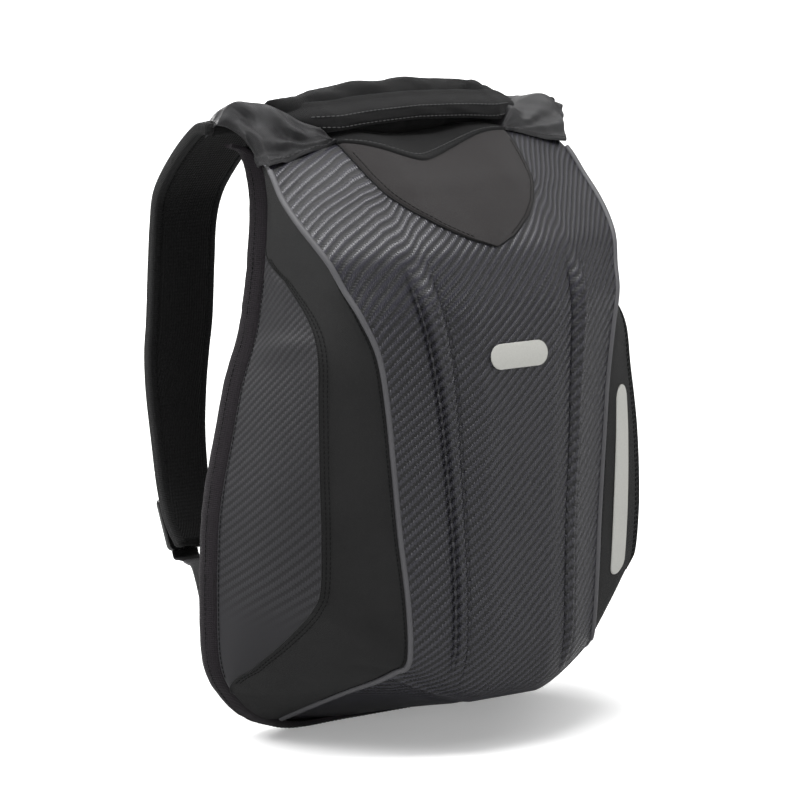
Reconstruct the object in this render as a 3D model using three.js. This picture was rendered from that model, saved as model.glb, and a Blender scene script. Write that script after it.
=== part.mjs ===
// A hard shell backpack: a moulded shell with two long ribs on a flared back panel, soft side
// panels, piping and a bound edge, a grab handle over a drooping top cover, and two padded
// shoulder straps with ladder buckles. Millimetres, +Z up, the shell faces -Y, the wearer is at +Y.
// The origin is on the rear face of the back panel, where it rests on the wearer's spine.
import * as THREE from "three";

// Driving dimensions
const BODY_HALF_WIDTH = 187;
const BODY_DEPTH = 171;
const BODY_HEIGHT = 512;
const ORIGIN_UP = 250;
const CLEARANCE = 0.3;

const SHELL_WALL = 3;
const CLOTH_WALL = 2;
const PANEL_THICKNESS = 13;
const PANEL_EDGE = 6;
const BINDING_WIDTH = 14;
const BINDING_WALL = 3;
const EDGE_INSET = 5;
const PIPING_DIAMETER = 4.6;

const RIB_HEIGHT = 3.2;
const RIB_WIDTH = 13;
const GROOVE_DEPTH = 1.6;
const GROOVE_WIDTH = 5;
const FLAT_FRONT = 0.32;
const LOBE_CURVE = 1.35;
const SIDE_BULGE = 4;
const VALLEY_DEPTH = 2;

const COVER_HALF_WIDTH = 83;
const PATCH_WALL = 1.2;
const LAY_GAP = 0.8;
const CAP_BULGE = 5;
const CAP_TUCK = 9;
const HANDLE_HEIGHT = 22;
const HANDLE_THICKNESS = 10;
const YOKE_DEPTH = 15;
const YOKE_HALF_WIDTH = BODY_HALF_WIDTH * 0.594;

const STRAP_WIDTH = 60;
const STRAP_THICKNESS = 12;
const STRAP_REACH = 92;
const STRAP_CENTRE = BODY_HALF_WIDTH * 0.77;

const WEBBING_WIDTH = 25;
const WEBBING_THICKNESS = 2;
const BUCKLE_WIDTH = 36;
const BUCKLE_LENGTH = 44;
const BUCKLE_THICKNESS = 5;
const BUCKLE_BAR = 4.5;
const BUCKLE_ROW = 12.9;
const ANCHOR_LENGTH = 30;
const TAB_WALL = 3;
const TAB_BASE_WIDTH = 44;

const BADGE_LENGTH = 56;
const BADGE_HEIGHT = 20;
const BADGE_WALL = 1.2;
const BADGE_ROW = 8.15;
const STRIP_WALL = 1;

// Depth zero is the seat of the back panel; every cloth panel starts in front of the binding.
const FRONT_START = BINDING_WIDTH + CLEARANCE;
const FRONT_SPAN = BODY_DEPTH - FRONT_START;

// Turns rows of numbers into objects with the named columns.
function table(columns, ...rows) {
  return rows.map((row) => Object.fromEntries(columns.map((name, i) => [name, row[i]])));
}

// Outline of the back panel from the top centre down one side to the bottom centre, as shares of
// the half width and of the height.
const OUTLINE = table(
  ["out", "up"],
  [0.0, 0.937],
  [0.33, 0.936],
  [0.58, 0.935],
  [0.78, 0.934],
  [0.87, 0.933],
  [0.905, 0.929],
  [0.885, 0.923],
  [0.83, 0.92],
  [0.785, 0.911],
  [0.755, 0.89],
  [0.737, 0.86],
  [0.73, 0.82],
  [0.745, 0.739],
  [0.766, 0.685],
  [0.793, 0.634],
  [0.866, 0.56],
  [0.919, 0.476],
  [0.965, 0.4035],
  [0.989, 0.345],
  [0.998, 0.275],
  [1.0, 0.226],
  [0.994, 0.146],
  [0.959, 0.097],
  [0.867, 0.052],
  [0.779, 0.027],
  [0.691, 0.013],
  [0.543, 0.0],
  [0.27, 0.0],
  [0.0, 0.0],
);
const BINDING_FROM = 7.2;
const WING_MIDDLE = 6;
const OUTLINE_STEPS = 42;

// Cross-sections from the top edge, down the front and back along the underside. Depths and ups
// are shares of the front span and of the height, outs of the half width. The spine is the centre
// line, the pipe is where the shell meets the side, the seam is where the two side panels meet,
// edge is a place in OUTLINE, hump lifts the shell beside the handle, rib is the rib's strength.
const SECTIONS = table(
  ["spineDepth", "spineUp", "pipeOut", "pipeDepth", "pipeUp", "seamOut", "seamDepth", "seamUp",
    "edge", "hump", "rib", "groove", "valley"],
  [0.017, 0.925, 0.77, 0.02, 0.92, 0.735, 0.0, 0.905, 8.4, 0.01, 0, 0.36, 0],
  [0.196, 0.916, 0.791, 0.179, 0.89, 0.735, 0.0, 0.885, 9.15, 0.012, 0, 0.36, 0],
  [0.451, 0.871, 0.802, 0.292, 0.8535, 0.73, 0.0, 0.855, 10.1, 0.003, 0, 0.36, 0],
  [0.566, 0.842, 0.798, 0.42, 0.82, 0.715, 0.0, 0.822, 10.95, 0, 0, 0.36, 0],
  [0.681, 0.8085, 0.78, 0.527, 0.791, 0.715, 0.0, 0.79, 11.35, 0, 0, 0.36, 0],
  [0.79, 0.773, 0.7545, 0.613, 0.762, 0.72, 0.0, 0.77, 11.6, 0, 0, 0.36, 0],
  [0.866, 0.7305, 0.73, 0.675, 0.7245, 0.77, 0.26, 0.7265, 12.25, 0, 0.05, 0.35, 0.2],
  [0.93, 0.6835, 0.6786, 0.752, 0.6835, 0.793, 0.496, 0.676, 12.9, 0, 0.55, 0.337, 0.7],
  [0.962, 0.625, 0.62, 0.8, 0.625, 0.817, 0.614, 0.629, 13.9, 0, 1, 0.317, 1],
  [0.981, 0.547, 0.5845, 0.813, 0.547, 0.8305, 0.6445, 0.5565, 14.85, 0, 1, 0.298, 0.9],
  [0.99, 0.459, 0.561, 0.8225, 0.459, 0.8465, 0.678, 0.459, 16.1, 0, 1, 0.286, 0.7],
  [0.994, 0.3515, 0.534, 0.8335, 0.3515, 0.849, 0.6956, 0.3515, 17.9, 0, 1, 0.268, 0.5],
  [1.0, 0.254, 0.507, 0.8545, 0.254, 0.846, 0.681, 0.2735, 18.95, 0, 1, 0.258, 0.3],
  [1.0, 0.176, 0.493, 0.855, 0.18, 0.853, 0.633, 0.242, 19.6, 0, 0.85, 0.257, 0.1],
  [0.965, 0.125, 0.4945, 0.834, 0.147, 0.858, 0.528, 0.211, 20.2, 0, 0.4, 0.259, 0],
  [0.895, 0.088, 0.5187, 0.779, 0.1365, 0.881, 0.3746, 0.17, 20.75, 0, 0, 0.26, 0],
  [0.76, 0.07, 0.5535, 0.68, 0.119, 0.909, 0.19, 0.125, 21.6, 0, 0, 0.26, 0],
  [0.52, 0.052, 0.588, 0.478, 0.0925, 0.92, 0.0, 0.07, 22.6, 0, 0, 0.26, 0],
  [0.25, 0.031, 0.62, 0.224, 0.0565, 0.84, 0.0, 0.045, 23.3, 0, 0, 0.26, 0],
  [0.0, 0.0105, 0.652, 0.0, 0.024, 0.72, 0.0, 0.0265, 24.6, 0, 0, 0.26, 0],
);
const LAST_SECTION = SECTIONS.length - 1;
const SEAM_FROM = 5;
const SEAM_TO = 17;

// Where the drooping front edge of the top cover lies, at the centre and at its corners.
const COVER_DROOP_ROW = 1.45;
const COVER_CORNER_ROW = 0.85;

// The rows of points that the shell, the side pieces and the piping share, so that their edges
// run side by side.
const STATIONS = [...steps(0, LAST_SECTION, LAST_SECTION), COVER_CORNER_ROW, 1.5, 6.5, 12.5, 13.5, 14.5, 15.5,
  SEAM_FROM + 0.12, SEAM_FROM + 0.5, SEAM_TO - 0.5, SEAM_TO - 0.12].sort((a, b) => a - b);

// Half widths of the soft patch below the cover, as shares of the cover's, down to its tip.
const PATCH_SHAPE = table(
  ["section", "half"],
  [0.8, 1.0],
  [1.22, 0.995],
  [1.6, 0.965],
  [1.97, 0.925],
  [2.6, 0.855],
  [3.3, 0.725],
  [3.94, 0.545],
  [4.33, 0.392],
  [4.65, 0.245],
  [4.87, 0.095],
  [4.97, 0.02],
);

// The grab handle from its centre to its end, in shares of the half width, of the front span and
// of the height; tall is a share of the handle's height.
const HANDLE_PATH = table(
  ["out", "depth", "up", "tall"],
  [0.0, 0.12, 0.966, 0.92],
  [0.24, 0.12, 0.963, 0.96],
  [0.4, 0.115, 0.9585, 0.96],
  [0.46, 0.1, 0.9585, 0.9],
  [0.56, 0.04, 0.972, 0.5],
  [0.65, -0.05, 0.979, 0.3],
);

// The padded roll between the straps, from its centre to its end.
const YOKE_SHAPE = table(
  ["out", "top", "depth"],
  [0.0, 1.014, 1.0],
  [0.4, 1.013, 1.0],
  [0.72, 1.004, 0.9],
  [0.9, 0.993, 0.65],
  [1.0, 0.982, 0.3],
);

// Centre line of a shoulder strap, from its root over the shoulder to its padded end. Behind is a
// share of the reach, up of the body height, wide of the strap width, out a share of the centre.
const STRAP_PATH = table(
  ["behind", "up", "wide", "out"],
  [0.05, 0.9505, 1.0, 1.0],
  [0.13, 0.951, 1.04, 1.0],
  [0.23, 0.946, 1.08, 1.0],
  [0.45, 0.915, 1.1, 1.0],
  [0.7, 0.871, 1.08, 1.0],
  [0.85, 0.834, 1.05, 1.0],
  [0.92, 0.789, 1.0, 1.0],
  [0.955, 0.724, 1.0, 1.0],
  [0.99, 0.637, 1.0, 1.0],
  [1.01, 0.586, 0.98, 1.01],
  [1.0, 0.527, 0.91, 1.022],
  [0.96, 0.451, 0.81, 1.028],
  [0.87, 0.371, 0.77, 1.035],
  [0.76, 0.32, 0.74, 1.035],
  [0.66, 0.284, 0.62, 1.03],
);

// A smooth curve through the rows of a table, at a real-numbered row.
function along(rows, column, at) {
  const last = rows.length - 1;
  const clamped = Math.min(Math.max(at, 0), last);
  const i = Math.min(Math.floor(clamped), last - 1);
  const t = clamped - i;
  const before = rows[Math.max(i - 1, 0)][column];
  const from = rows[i][column];
  const to = rows[i + 1][column];
  const after = rows[Math.min(i + 2, last)][column];
  const slopeFrom = (to - before) / 2;
  const slopeTo = (after - from) / 2;
  const t2 = t * t;
  const t3 = t2 * t;
  return (2 * t3 - 3 * t2 + 1) * from + (t3 - 2 * t2 + t) * slopeFrom
    + (3 * t2 - 2 * t3) * to + (t3 - t2) * slopeTo;
}

// A point from its distance outwards, its depth in front of the panel's seat and its height.
function place(out, depth, up) {
  return new THREE.Vector3(out, -(depth + PANEL_THICKNESS), up - ORIGIN_UP);
}

function outlinePoint(at, inset, depth) {
  const step = 0.05;
  const out = BODY_HALF_WIDTH * along(OUTLINE, "out", at);
  const up = BODY_HEIGHT * along(OUTLINE, "up", at);
  const ahead = Math.min(at + step, OUTLINE.length - 1);
  const behind = Math.max(at - step, 0);
  const tangentOut = BODY_HALF_WIDTH * (along(OUTLINE, "out", ahead) - along(OUTLINE, "out", behind));
  const tangentUp = BODY_HEIGHT * (along(OUTLINE, "up", ahead) - along(OUTLINE, "up", behind));
  const length = Math.hypot(tangentOut, tangentUp);
  const inwardOut = tangentUp / length;
  const inwardUp = -tangentOut / length;
  return place(out + inset * inwardOut, depth, up + inset * inwardUp);
}

// The named lines of the body at one section.
function spineAt(at) {
  return place(0, FRONT_START + FRONT_SPAN * along(SECTIONS, "spineDepth", at),
    BODY_HEIGHT * along(SECTIONS, "spineUp", at));
}

function pipeAt(at) {
  return place(BODY_HALF_WIDTH * along(SECTIONS, "pipeOut", at),
    FRONT_START + FRONT_SPAN * along(SECTIONS, "pipeDepth", at),
    BODY_HEIGHT * along(SECTIONS, "pipeUp", at));
}

function edgeAt(at) {
  return outlinePoint(along(SECTIONS, "edge", at), EDGE_INSET, FRONT_START);
}

function seamAt(at) {
  const edge = edgeAt(at);
  const away = Math.min(1, at - SEAM_FROM, SEAM_TO - at);
  if (away <= 0) return edge;
  const seam = place(BODY_HALF_WIDTH * along(SECTIONS, "seamOut", at),
    FRONT_START + FRONT_SPAN * Math.max(0, along(SECTIONS, "seamDepth", at)),
    BODY_HEIGHT * along(SECTIONS, "seamUp", at));
  return edge.lerp(seam, away);
}

// The smooth skin of the shell at a section and a share of the way from the spine to the pipe.
function shellSkin(at, share) {
  const spine = spineAt(at);
  const pipe = pipeAt(at);
  const drop = Math.pow(Math.max(0, share - FLAT_FRONT) / (1 - FLAT_FRONT), LOBE_CURVE);
  const hump = BODY_HEIGHT * along(SECTIONS, "hump", at) * Math.pow(Math.sin(Math.PI * share), 2);
  return new THREE.Vector3(
    pipe.x * share,
    spine.y + (pipe.y - spine.y) * drop,
    spine.z + (pipe.z - spine.z) * drop + hump,
  );
}

function bulged(from, to, share, bulge, middle) {
  const point = from.clone().lerp(to, share);
  const outward = point.clone().sub(middle);
  outward.z = 0;
  return point.addScaledVector(outward.normalize(), bulge * Math.sin(Math.PI * share));
}

// The skin across the whole side at a section: lane 0 is the spine, 1 the pipe, 2 the seam and
// 3 the edge.
function skinAt(at, lane) {
  if (lane <= 1) return shellSkin(at, lane);
  const middle = place(0, FRONT_START + FRONT_SPAN * 0.2, BODY_HEIGHT / 2);
  const pipe = pipeAt(at);
  const seam = seamAt(at);
  const edge = edgeAt(at);
  if (lane <= 2) {
    const span = Math.min(1, pipe.distanceTo(seam) / BODY_DEPTH * 4);
    return bulged(pipe, seam, lane - 1, SIDE_BULGE / 2 * span, middle);
  }
  const width = seam.distanceTo(edge);
  return bulged(seam, edge, lane - 2, SIDE_BULGE * Math.min(1, width / BODY_DEPTH * 2), middle);
}

// Outward direction of the smooth skin, found from its neighbours.
function outwardAt(at, lane) {
  const step = 0.02;
  const low = Math.max(at - step, 0);
  const high = Math.min(at + step, LAST_SECTION);
  const downward = skinAt(high, lane).sub(skinAt(low, lane));
  const left = lane > step ? skinAt(at, lane - step) : skinAt(at, step).setX(-skinAt(at, step).x);
  const seamless = lane > 2 && seamAt(at).distanceTo(edgeAt(at)) < 1;
  const reach = Math.min(lane + step, seamless ? 2 : 3);
  const sideways = skinAt(at, reach).sub(seamless ? skinAt(at, 2 - 2 * step) : left);
  return sideways.cross(downward).normalize().negate();
}

// Closes two facing grids of points into one solid: rows run one way and columns the other.
function sheetSolid(outer, inner) {
  const rows = outer.length;
  const columns = outer[0].length;
  const points = [...outer.flat(), ...inner.flat()];
  const index = [];
  const front = (r, c) => r * columns + c;
  const back = (r, c) => rows * columns + front(r, c);
  const quad = (a, b, c, d) => index.push(a, b, c, a, c, d);
  for (let r = 0; r < rows - 1; r += 1) {
    for (let c = 0; c < columns - 1; c += 1) {
      quad(front(r, c), front(r + 1, c), front(r + 1, c + 1), front(r, c + 1));
      quad(back(r, c), back(r, c + 1), back(r + 1, c + 1), back(r + 1, c));
    }
    quad(front(r, 0), back(r, 0), back(r + 1, 0), front(r + 1, 0));
    quad(front(r, columns - 1), front(r + 1, columns - 1), back(r + 1, columns - 1), back(r, columns - 1));
  }
  for (let c = 0; c < columns - 1; c += 1) {
    quad(front(0, c), front(0, c + 1), back(0, c + 1), back(0, c));
    quad(front(rows - 1, c), back(rows - 1, c), back(rows - 1, c + 1), front(rows - 1, c + 1));
  }
  return meshOf(points, index);
}

// Closes a row of equal rings of points into one solid with flat ends.
function ringSolid(rings) {
  const size = rings[0].length;
  const index = [];
  for (let r = 0; r < rings.length - 1; r += 1) {
    for (let c = 0; c < size; c += 1) {
      const a = r * size + c;
      const b = r * size + ((c + 1) % size);
      index.push(a, b, b + size, a, b + size, a + size);
    }
  }
  for (let c = 1; c < size - 1; c += 1) {
    index.push(0, c + 1, c);
    const end = (rings.length - 1) * size;
    index.push(end, end + c, end + c + 1);
  }
  return meshOf(rings.flat(), index);
}

function meshOf(points, index) {
  const geometry = new THREE.BufferGeometry();
  geometry.setAttribute("position",
    new THREE.BufferAttribute(new Float32Array(points.flatMap((p) => [p.x, p.y, p.z])), 3));
  geometry.setIndex(facingOut(points, index));
  geometry.computeVertexNormals();
  return geometry;
}

// Turns every face round where the closed surface they make is inside out.
function facingOut(points, index) {
  let volume = 0;
  for (let i = 0; i < index.length; i += 3) {
    const [a, b, c] = [points[index[i]], points[index[i + 1]], points[index[i + 2]]];
    volume += a.dot(b.clone().cross(c));
  }
  if (volume > 0) return index;
  const turned = [...index];
  for (let i = 0; i < turned.length; i += 3) {
    [turned[i + 1], turned[i + 2]] = [turned[i + 2], turned[i + 1]];
  }
  return turned;
}

function steps(from, to, count) {
  return Array.from({ length: count + 1 }, (_, i) => from + ((to - from) * i) / count);
}

function mirrored(p) {
  return new THREE.Vector3(-p.x, p.y, p.z);
}

// Height of the rib and its groove over the smooth skin, at a distance from the centre line.
function ribRise(at, out) {
  const strength = Math.max(0, along(SECTIONS, "rib", at));
  const fromGroove = out - BODY_HALF_WIDTH * along(SECTIONS, "groove", at);
  const dip = Math.max(0, 1 - Math.abs(fromGroove) / (GROOVE_WIDTH / 2));
  const onRib = (fromGroove - GROOVE_WIDTH / 2) / RIB_WIDTH;
  const bump = onRib > 0 && onRib < 1 ? Math.sin(Math.PI * Math.pow(onRib, 0.7)) : 0;
  return strength * (RIB_HEIGHT * bump - GROOVE_DEPTH * dip);
}

// The soft hollow between the rib and the pipe.
function valleySink(at, share) {
  const strength = Math.max(0, along(SECTIONS, "valley", at));
  return VALLEY_DEPTH * strength * Math.pow(Math.sin(Math.PI * share * share), 2);
}

const PULL_BACK = PIPING_DIAMETER / 2 + CLEARANCE;

function shellColumns(at) {
  const width = pipeAt(at).x;
  const groove = (BODY_HALF_WIDTH * along(SECTIONS, "groove", at)) / width;
  const half = GROOVE_WIDTH / 2 / width;
  const rib = RIB_WIDTH / width;
  const limit = 1 - PULL_BACK / width;
  const outside = groove + half + rib;
  return [0, groove * 0.45, groove * 0.8, groove - half, groove, groove + half, groove + half + rib * 0.35,
    groove + half + rib * 0.7, outside, outside + (limit - outside) * 0.35,
    outside + (limit - outside) * 0.7, limit];
}

function shell() {
  const outer = [];
  const inner = [];
  for (const at of STATIONS) {
    const half = shellColumns(at).map((share) => {
      const skin = shellSkin(at, share);
      const outward = outwardAt(at, share);
      const rise = ribRise(at, skin.x) - valleySink(at, share);
      const inside = skin.clone().addScaledVector(outward, -SHELL_WALL - valleySink(at, share));
      inside.y = Math.min(inside.y, -(FRONT_START + PANEL_THICKNESS));
      return { front: skin.addScaledVector(outward, rise), back: inside };
    });
    const mirror = half.slice(1).reverse();
    outer.push([...mirror.map((p) => mirrored(p.front)), ...half.map((p) => p.front)]);
    inner.push([...mirror.map((p) => mirrored(p.back)), ...half.map((p) => p.back)]);
  }
  return sheetSolid(outer, inner);
}

// The share of the way from one lane to its neighbour that keeps off the lane's line by a pull,
// however askew the section crosses that line.
function pullShare(at, lane, toward, pull) {
  const line = skinAt(Math.min(at + 0.05, LAST_SECTION), lane).sub(skinAt(Math.max(at - 0.05, 0), lane));
  const across = skinAt(at, toward).sub(skinAt(at, lane));
  const length = across.length();
  const askew = line.normalize().cross(across.normalize()).length();
  return pull / Math.max(0.2, askew) / length;
}

// A cloth panel between two lanes of the skin, from one section to another. Its long edges keep
// clear of their neighbours by the two pulls.
function clothPanel(fromAt, toAt, fromLane, fromPull, toPull, side) {
  const outer = [];
  const inner = [];
  for (const at of STATIONS.filter((station) => station >= fromAt && station <= toAt)) {
    const low = Math.min(0.4, pullShare(at, fromLane, fromLane + 1, fromPull));
    const high = Math.max(0.6, 1 - pullShare(at, fromLane + 1, fromLane, toPull));
    const points = steps(low, high, 4).map((share) => {
      const lane = fromLane + share;
      const skin = skinAt(at, lane);
      const besideSeam = (fromLane === 1 && share === high) || (fromLane === 2 && share === low);
      const inward = outwardAt(at, besideSeam ? 2 : lane).negate();
      const inside = skin.clone().addScaledVector(inward, CLOTH_WALL);
      inside.y = Math.min(inside.y, -(FRONT_START + PANEL_THICKNESS));
      return side > 0 ? [skin, inside] : [mirrored(skin), mirrored(inside)];
    });
    outer.push(points.map((p) => p[0]));
    inner.push(points.map((p) => p[1]));
  }
  return sheetSolid(outer, inner);
}

function sidePanel(side) {
  return clothPanel(COVER_CORNER_ROW, LAST_SECTION, 1, PULL_BACK, CLEARANCE, side);
}

function gusset(side) {
  return clothPanel(SEAM_FROM + 0.1, SEAM_TO - 0.1, 2, CLEARANCE, 0, side);
}

// A round piping along the shell's border, seated a little proud in the gap left for it.
function piping(side) {
  const radius = PIPING_DIAMETER / 2;
  const rings = STATIONS.filter((at) => at >= 1).map((at) => {
    const outward = outwardAt(at, 1);
    const forward = pipeAt(Math.min(at + 0.05, LAST_SECTION))
      .sub(pipeAt(Math.max(at - 0.05, 0))).normalize();
    const across = forward.clone().cross(outward).normalize();
    const lift = across.clone().cross(forward).normalize();
    return Array.from({ length: 8 }, (_, k) => {
      const turn = (k / 8) * Math.PI * 2;
      const p = pipeAt(at).addScaledVector(across, radius * Math.cos(turn))
        .addScaledVector(lift, radius * Math.sin(turn));
      p.y = Math.min(p.y, -(FRONT_START + PANEL_THICKNESS));
      return side > 0 ? p : mirrored(p);
    });
  });
  return ringSolid(rings);
}

// The bound edge of the back panel: a folded tape down one side, along the bottom and up again.
function binding() {
  const last = OUTLINE.length - 1;
  const halfWay = steps(0, last, OUTLINE_STEPS).filter((at) => at >= BINDING_FROM).map((at) => {
    const rise = Math.min(1, Math.max(0, (at - BINDING_FROM - 0.5) / 2.5));
    const width = BINDING_WIDTH * (0.3 + 0.7 * rise * rise * (3 - 2 * rise));
    const lean = EDGE_INSET * (width / BINDING_WIDTH);
    return [
      [BINDING_WALL, -PANEL_EDGE], [BINDING_WALL * 0.3, -PANEL_EDGE * 0.5], [0, width * 0.12],
      [lean * 0.4, width * 0.65], [lean, width], [lean + BINDING_WALL, width],
      [lean * 0.4 + BINDING_WALL, width * 0.6], [BINDING_WALL, width * 0.12],
      [BINDING_WALL, -PANEL_EDGE * 0.6],
    ].map(([inset, depth]) => outlinePoint(at, inset, depth));
  });
  const back = halfWay.slice(0, -1).reverse().map((ring) => ring.map(mirrored));
  return ringSolid([...halfWay, ...back]);
}

// The padded back panel: a slab inside the binding whose rear face is crowned.
function backPanel() {
  const last = OUTLINE.length - 1;
  const crown = PANEL_THICKNESS;
  const rings = [[0, 0], [0, -PANEL_EDGE], [crown * 0.3, -crown * 0.78], [crown, -crown]].map(([ease, depth]) => {
    const half = steps(0, last, OUTLINE_STEPS).map((at) => {
      const bound = Math.min(1, Math.max(0, at - BINDING_FROM + 1));
      const offWing = Math.min(1, Math.max(0, Math.abs(at - WING_MIDDLE) / 3 - 1));
      const point = outlinePoint(at, CLEARANCE + BINDING_WALL * bound + ease * offWing, depth);
      if (at === 0 || at === last) point.x = 0;
      return point;
    });
    return [...half, ...half.slice(1, -1).reverse().map(mirrored)];
  });
  return ringSolid(rings);
}

// A thin cloth laid on the shell, from columns that give a section and a distance out for each row.
function laidCloth(columns, wall) {
  const outer = [];
  const inner = [];
  for (const column of columns) {
    const pairs = column.map(({ at, out }) => {
      const lane = Math.abs(out) / pipeAt(at).x;
      const skin = shellSkin(at, lane);
      const outward = outwardAt(at, lane);
      const over = skin.clone().addScaledVector(outward, LAY_GAP + wall);
      const under = skin.addScaledVector(outward, LAY_GAP);
      return out < 0 ? [mirrored(over), mirrored(under)] : [over, under];
    });
    outer.push(pairs.map((p) => p[0]));
    inner.push(pairs.map((p) => p[1]));
  }
  return sheetSolid(outer, inner);
}

// The section at which the top cover ends, by distance from the centre.
function coverEnd(out) {
  const share = Math.pow(Math.min(1, Math.abs(out) / COVER_HALF_WIDTH), 1.2);
  return COVER_CORNER_ROW + (COVER_DROOP_ROW - COVER_CORNER_ROW) * (0.5 + 0.5 * Math.cos(Math.PI * share));
}

// The drooping cloth cover between the handle's ends, laid on the shell's top.
function topCover() {
  const reach = COVER_HALF_WIDTH - CLEARANCE / 2;
  return laidCloth(steps(-reach, reach, 16).map((out) => (
    steps(0.12, 1, 5).map((share) => ({ at: share * coverEnd(out), out }))
  )), CLOTH_WALL);
}

// The soft patch below the cover, narrowing to a tip on the shell's centre line.
function frontPatch() {
  const tip = PATCH_SHAPE[PATCH_SHAPE.length - 1].section;
  const margin = 0.02;
  return laidCloth(steps(-1, 1, 10).map((share) => {
    const start = coverEnd(share * COVER_HALF_WIDTH) + margin;
    return steps(0, 1, 10).map((down) => {
      const at = start + (tip - start) * down;
      let row = 0;
      while (row < PATCH_SHAPE.length - 2 && PATCH_SHAPE[row + 1].section < at) row += 1;
      const span = PATCH_SHAPE[row + 1].section - PATCH_SHAPE[row].section;
      const half = COVER_HALF_WIDTH * along(PATCH_SHAPE, "half", row + (at - PATCH_SHAPE[row].section) / span);
      return { at, out: share * half };
    });
  }), PATCH_WALL);
}

// The lower border of a shoulder cap, laid on the shell's corner and round to the binding, and
// the upper border, over the strap's root. Share 0 is beside the cover and 1 is at the wing.
function capLow(share) {
  const shoulder = 0.72;
  const along01 = Math.min(1, share / shoulder);
  const at = COVER_CORNER_ROW;
  const start = COVER_HALF_WIDTH + CLEARANCE / 2;
  const corner = pipeAt(at);
  const lane = Math.min(1, (start + (corner.x - start) * along01) / corner.x);
  const outward = outwardAt(at, Math.min(lane, 0.985));
  const lift = LAY_GAP + (PIPING_DIAMETER / 2 + CLEARANCE) * Math.pow(along01, 3);
  const inside = shellSkin(at, lane).addScaledVector(outward, lift);
  const outside = inside.clone().addScaledVector(outward, CLOTH_WALL);
  if (share <= shoulder) return [outside, inside];
  const around = (share - shoulder) / (1 - shoulder);
  const edge = edgeAt(at);
  const sideways = new THREE.Vector3(1, 0, 0);
  const target = edge.clone().addScaledVector(sideways, 3.2);
  target.y = -(FRONT_START + PANEL_THICKNESS + CLEARANCE);
  const inner = inside.clone().lerp(target, around);
  const direction = outward.clone().lerp(sideways, around).normalize();
  inner.addScaledVector(direction, 3 * Math.sin(Math.PI * around));
  return [inner.clone().addScaledVector(direction, CLOTH_WALL), inner];
}

const CAP_TOP = table(
  ["out", "depth", "up"],
  [0.449, 0.125, 0.9285],
  [0.56, 0.04, 0.952],
  [0.66, -0.045, 0.966],
  [0.8, -0.085, 0.973],
  [0.92, -0.1, 0.967],
);

function capHigh(share) {
  const row = share * (CAP_TOP.length - 1);
  return place(BODY_HALF_WIDTH * along(CAP_TOP, "out", row),
    FRONT_START + FRONT_SPAN * along(CAP_TOP, "depth", row),
    BODY_HEIGHT * along(CAP_TOP, "up", row));
}

// One shoulder cap: bulging cloth from the shell's corner up to the strap's root.
function shoulderCap(side) {
  const outer = [];
  const inner = [];
  for (const share of steps(0, 1, 12)) {
    const [lowOut, lowIn] = capLow(share);
    const high = capHigh(share);
    const outward = new THREE.Vector3(0.2 + 0.6 * share, -1, 0.6).normalize();
    const fullness = CAP_BULGE * Math.min(1, lowIn.distanceTo(high) / (CAP_BULGE * 7)) * (1 - 0.4 * share);
    const column = steps(0, 1, 6).map((rise) => {
      const wall = lowOut.clone().sub(lowIn).normalize().lerp(outward, Math.min(1, rise * 2)).normalize();
      const inside = lowIn.clone().lerp(high, rise).addScaledVector(outward, fullness * Math.sin(Math.PI * rise));
      inside.x -= CAP_TUCK * share ** 3 * Math.sin(Math.PI * rise);
      const outside = inside.clone().addScaledVector(wall, CLOTH_WALL);
      return side > 0 ? [outside, inside] : [mirrored(outside), mirrored(inside)];
    });
    outer.push(column.map((p) => p[0]));
    inner.push(column.map((p) => p[1]));
  }
  return sheetSolid(outer, inner);
}

// A rounded flat section: half width, half thickness, in the plane of two unit vectors.
function flatRing(centre, across, normal, halfWidth, halfThickness) {
  const corners = [
    [-1, -0.45], [-0.9, -1], [0.9, -1], [1, -0.45], [1, 0.45], [0.9, 1], [-0.9, 1], [-1, 0.45],
  ];
  return corners.map(([w, t]) => centre.clone()
    .addScaledVector(across, w * halfWidth).addScaledVector(normal, t * halfThickness));
}

// The grab handle: a padded band across the top whose ends run back along the shoulder caps.
function handle() {
  const last = HANDLE_PATH.length - 1;
  const forward = new THREE.Vector3(0, -1, 0.15).normalize();
  const upward = new THREE.Vector3(0, 0.15, 1).normalize();
  const rings = steps(-last, last, 24).map((at) => {
    const row = Math.abs(at);
    const centre = place(Math.sign(at) * BODY_HALF_WIDTH * along(HANDLE_PATH, "out", row),
      FRONT_START + FRONT_SPAN * along(HANDLE_PATH, "depth", row),
      BODY_HEIGHT * along(HANDLE_PATH, "up", row));
    return flatRing(centre, upward, forward, (HANDLE_HEIGHT / 2) * along(HANDLE_PATH, "tall", row),
      HANDLE_THICKNESS / 2);
  });
  return ringSolid(rings);
}

// The padded roll that tops the back panel between the two straps.
function yoke() {
  const last = YOKE_SHAPE.length - 1;
  const bottom = BODY_HEIGHT * OUTLINE[0].up + CLEARANCE;
  const rings = steps(-last, last, 20).map((at) => {
    const row = Math.abs(at);
    const out = Math.sign(at) * YOKE_HALF_WIDTH * along(YOKE_SHAPE, "out", row);
    const top = BODY_HEIGHT * along(YOKE_SHAPE, "top", row);
    const front = YOKE_DEPTH * along(YOKE_SHAPE, "depth", row);
    const tall = top - bottom;
    return [
      [-PANEL_THICKNESS, 0], [-PANEL_THICKNESS, 0.7], [-PANEL_THICKNESS * 0.6, 0.93], [0, 1],
      [front * 0.6, 0.9], [front, 0.6], [front, 0],
    ].map(([depth, rise]) => place(out, depth, bottom + tall * rise));
  });
  return ringSolid(rings);
}

function strapCentre(at) {
  return place(STRAP_CENTRE * along(STRAP_PATH, "out", at), -STRAP_REACH * along(STRAP_PATH, "behind", at),
    BODY_HEIGHT * along(STRAP_PATH, "up", at));
}

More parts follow.
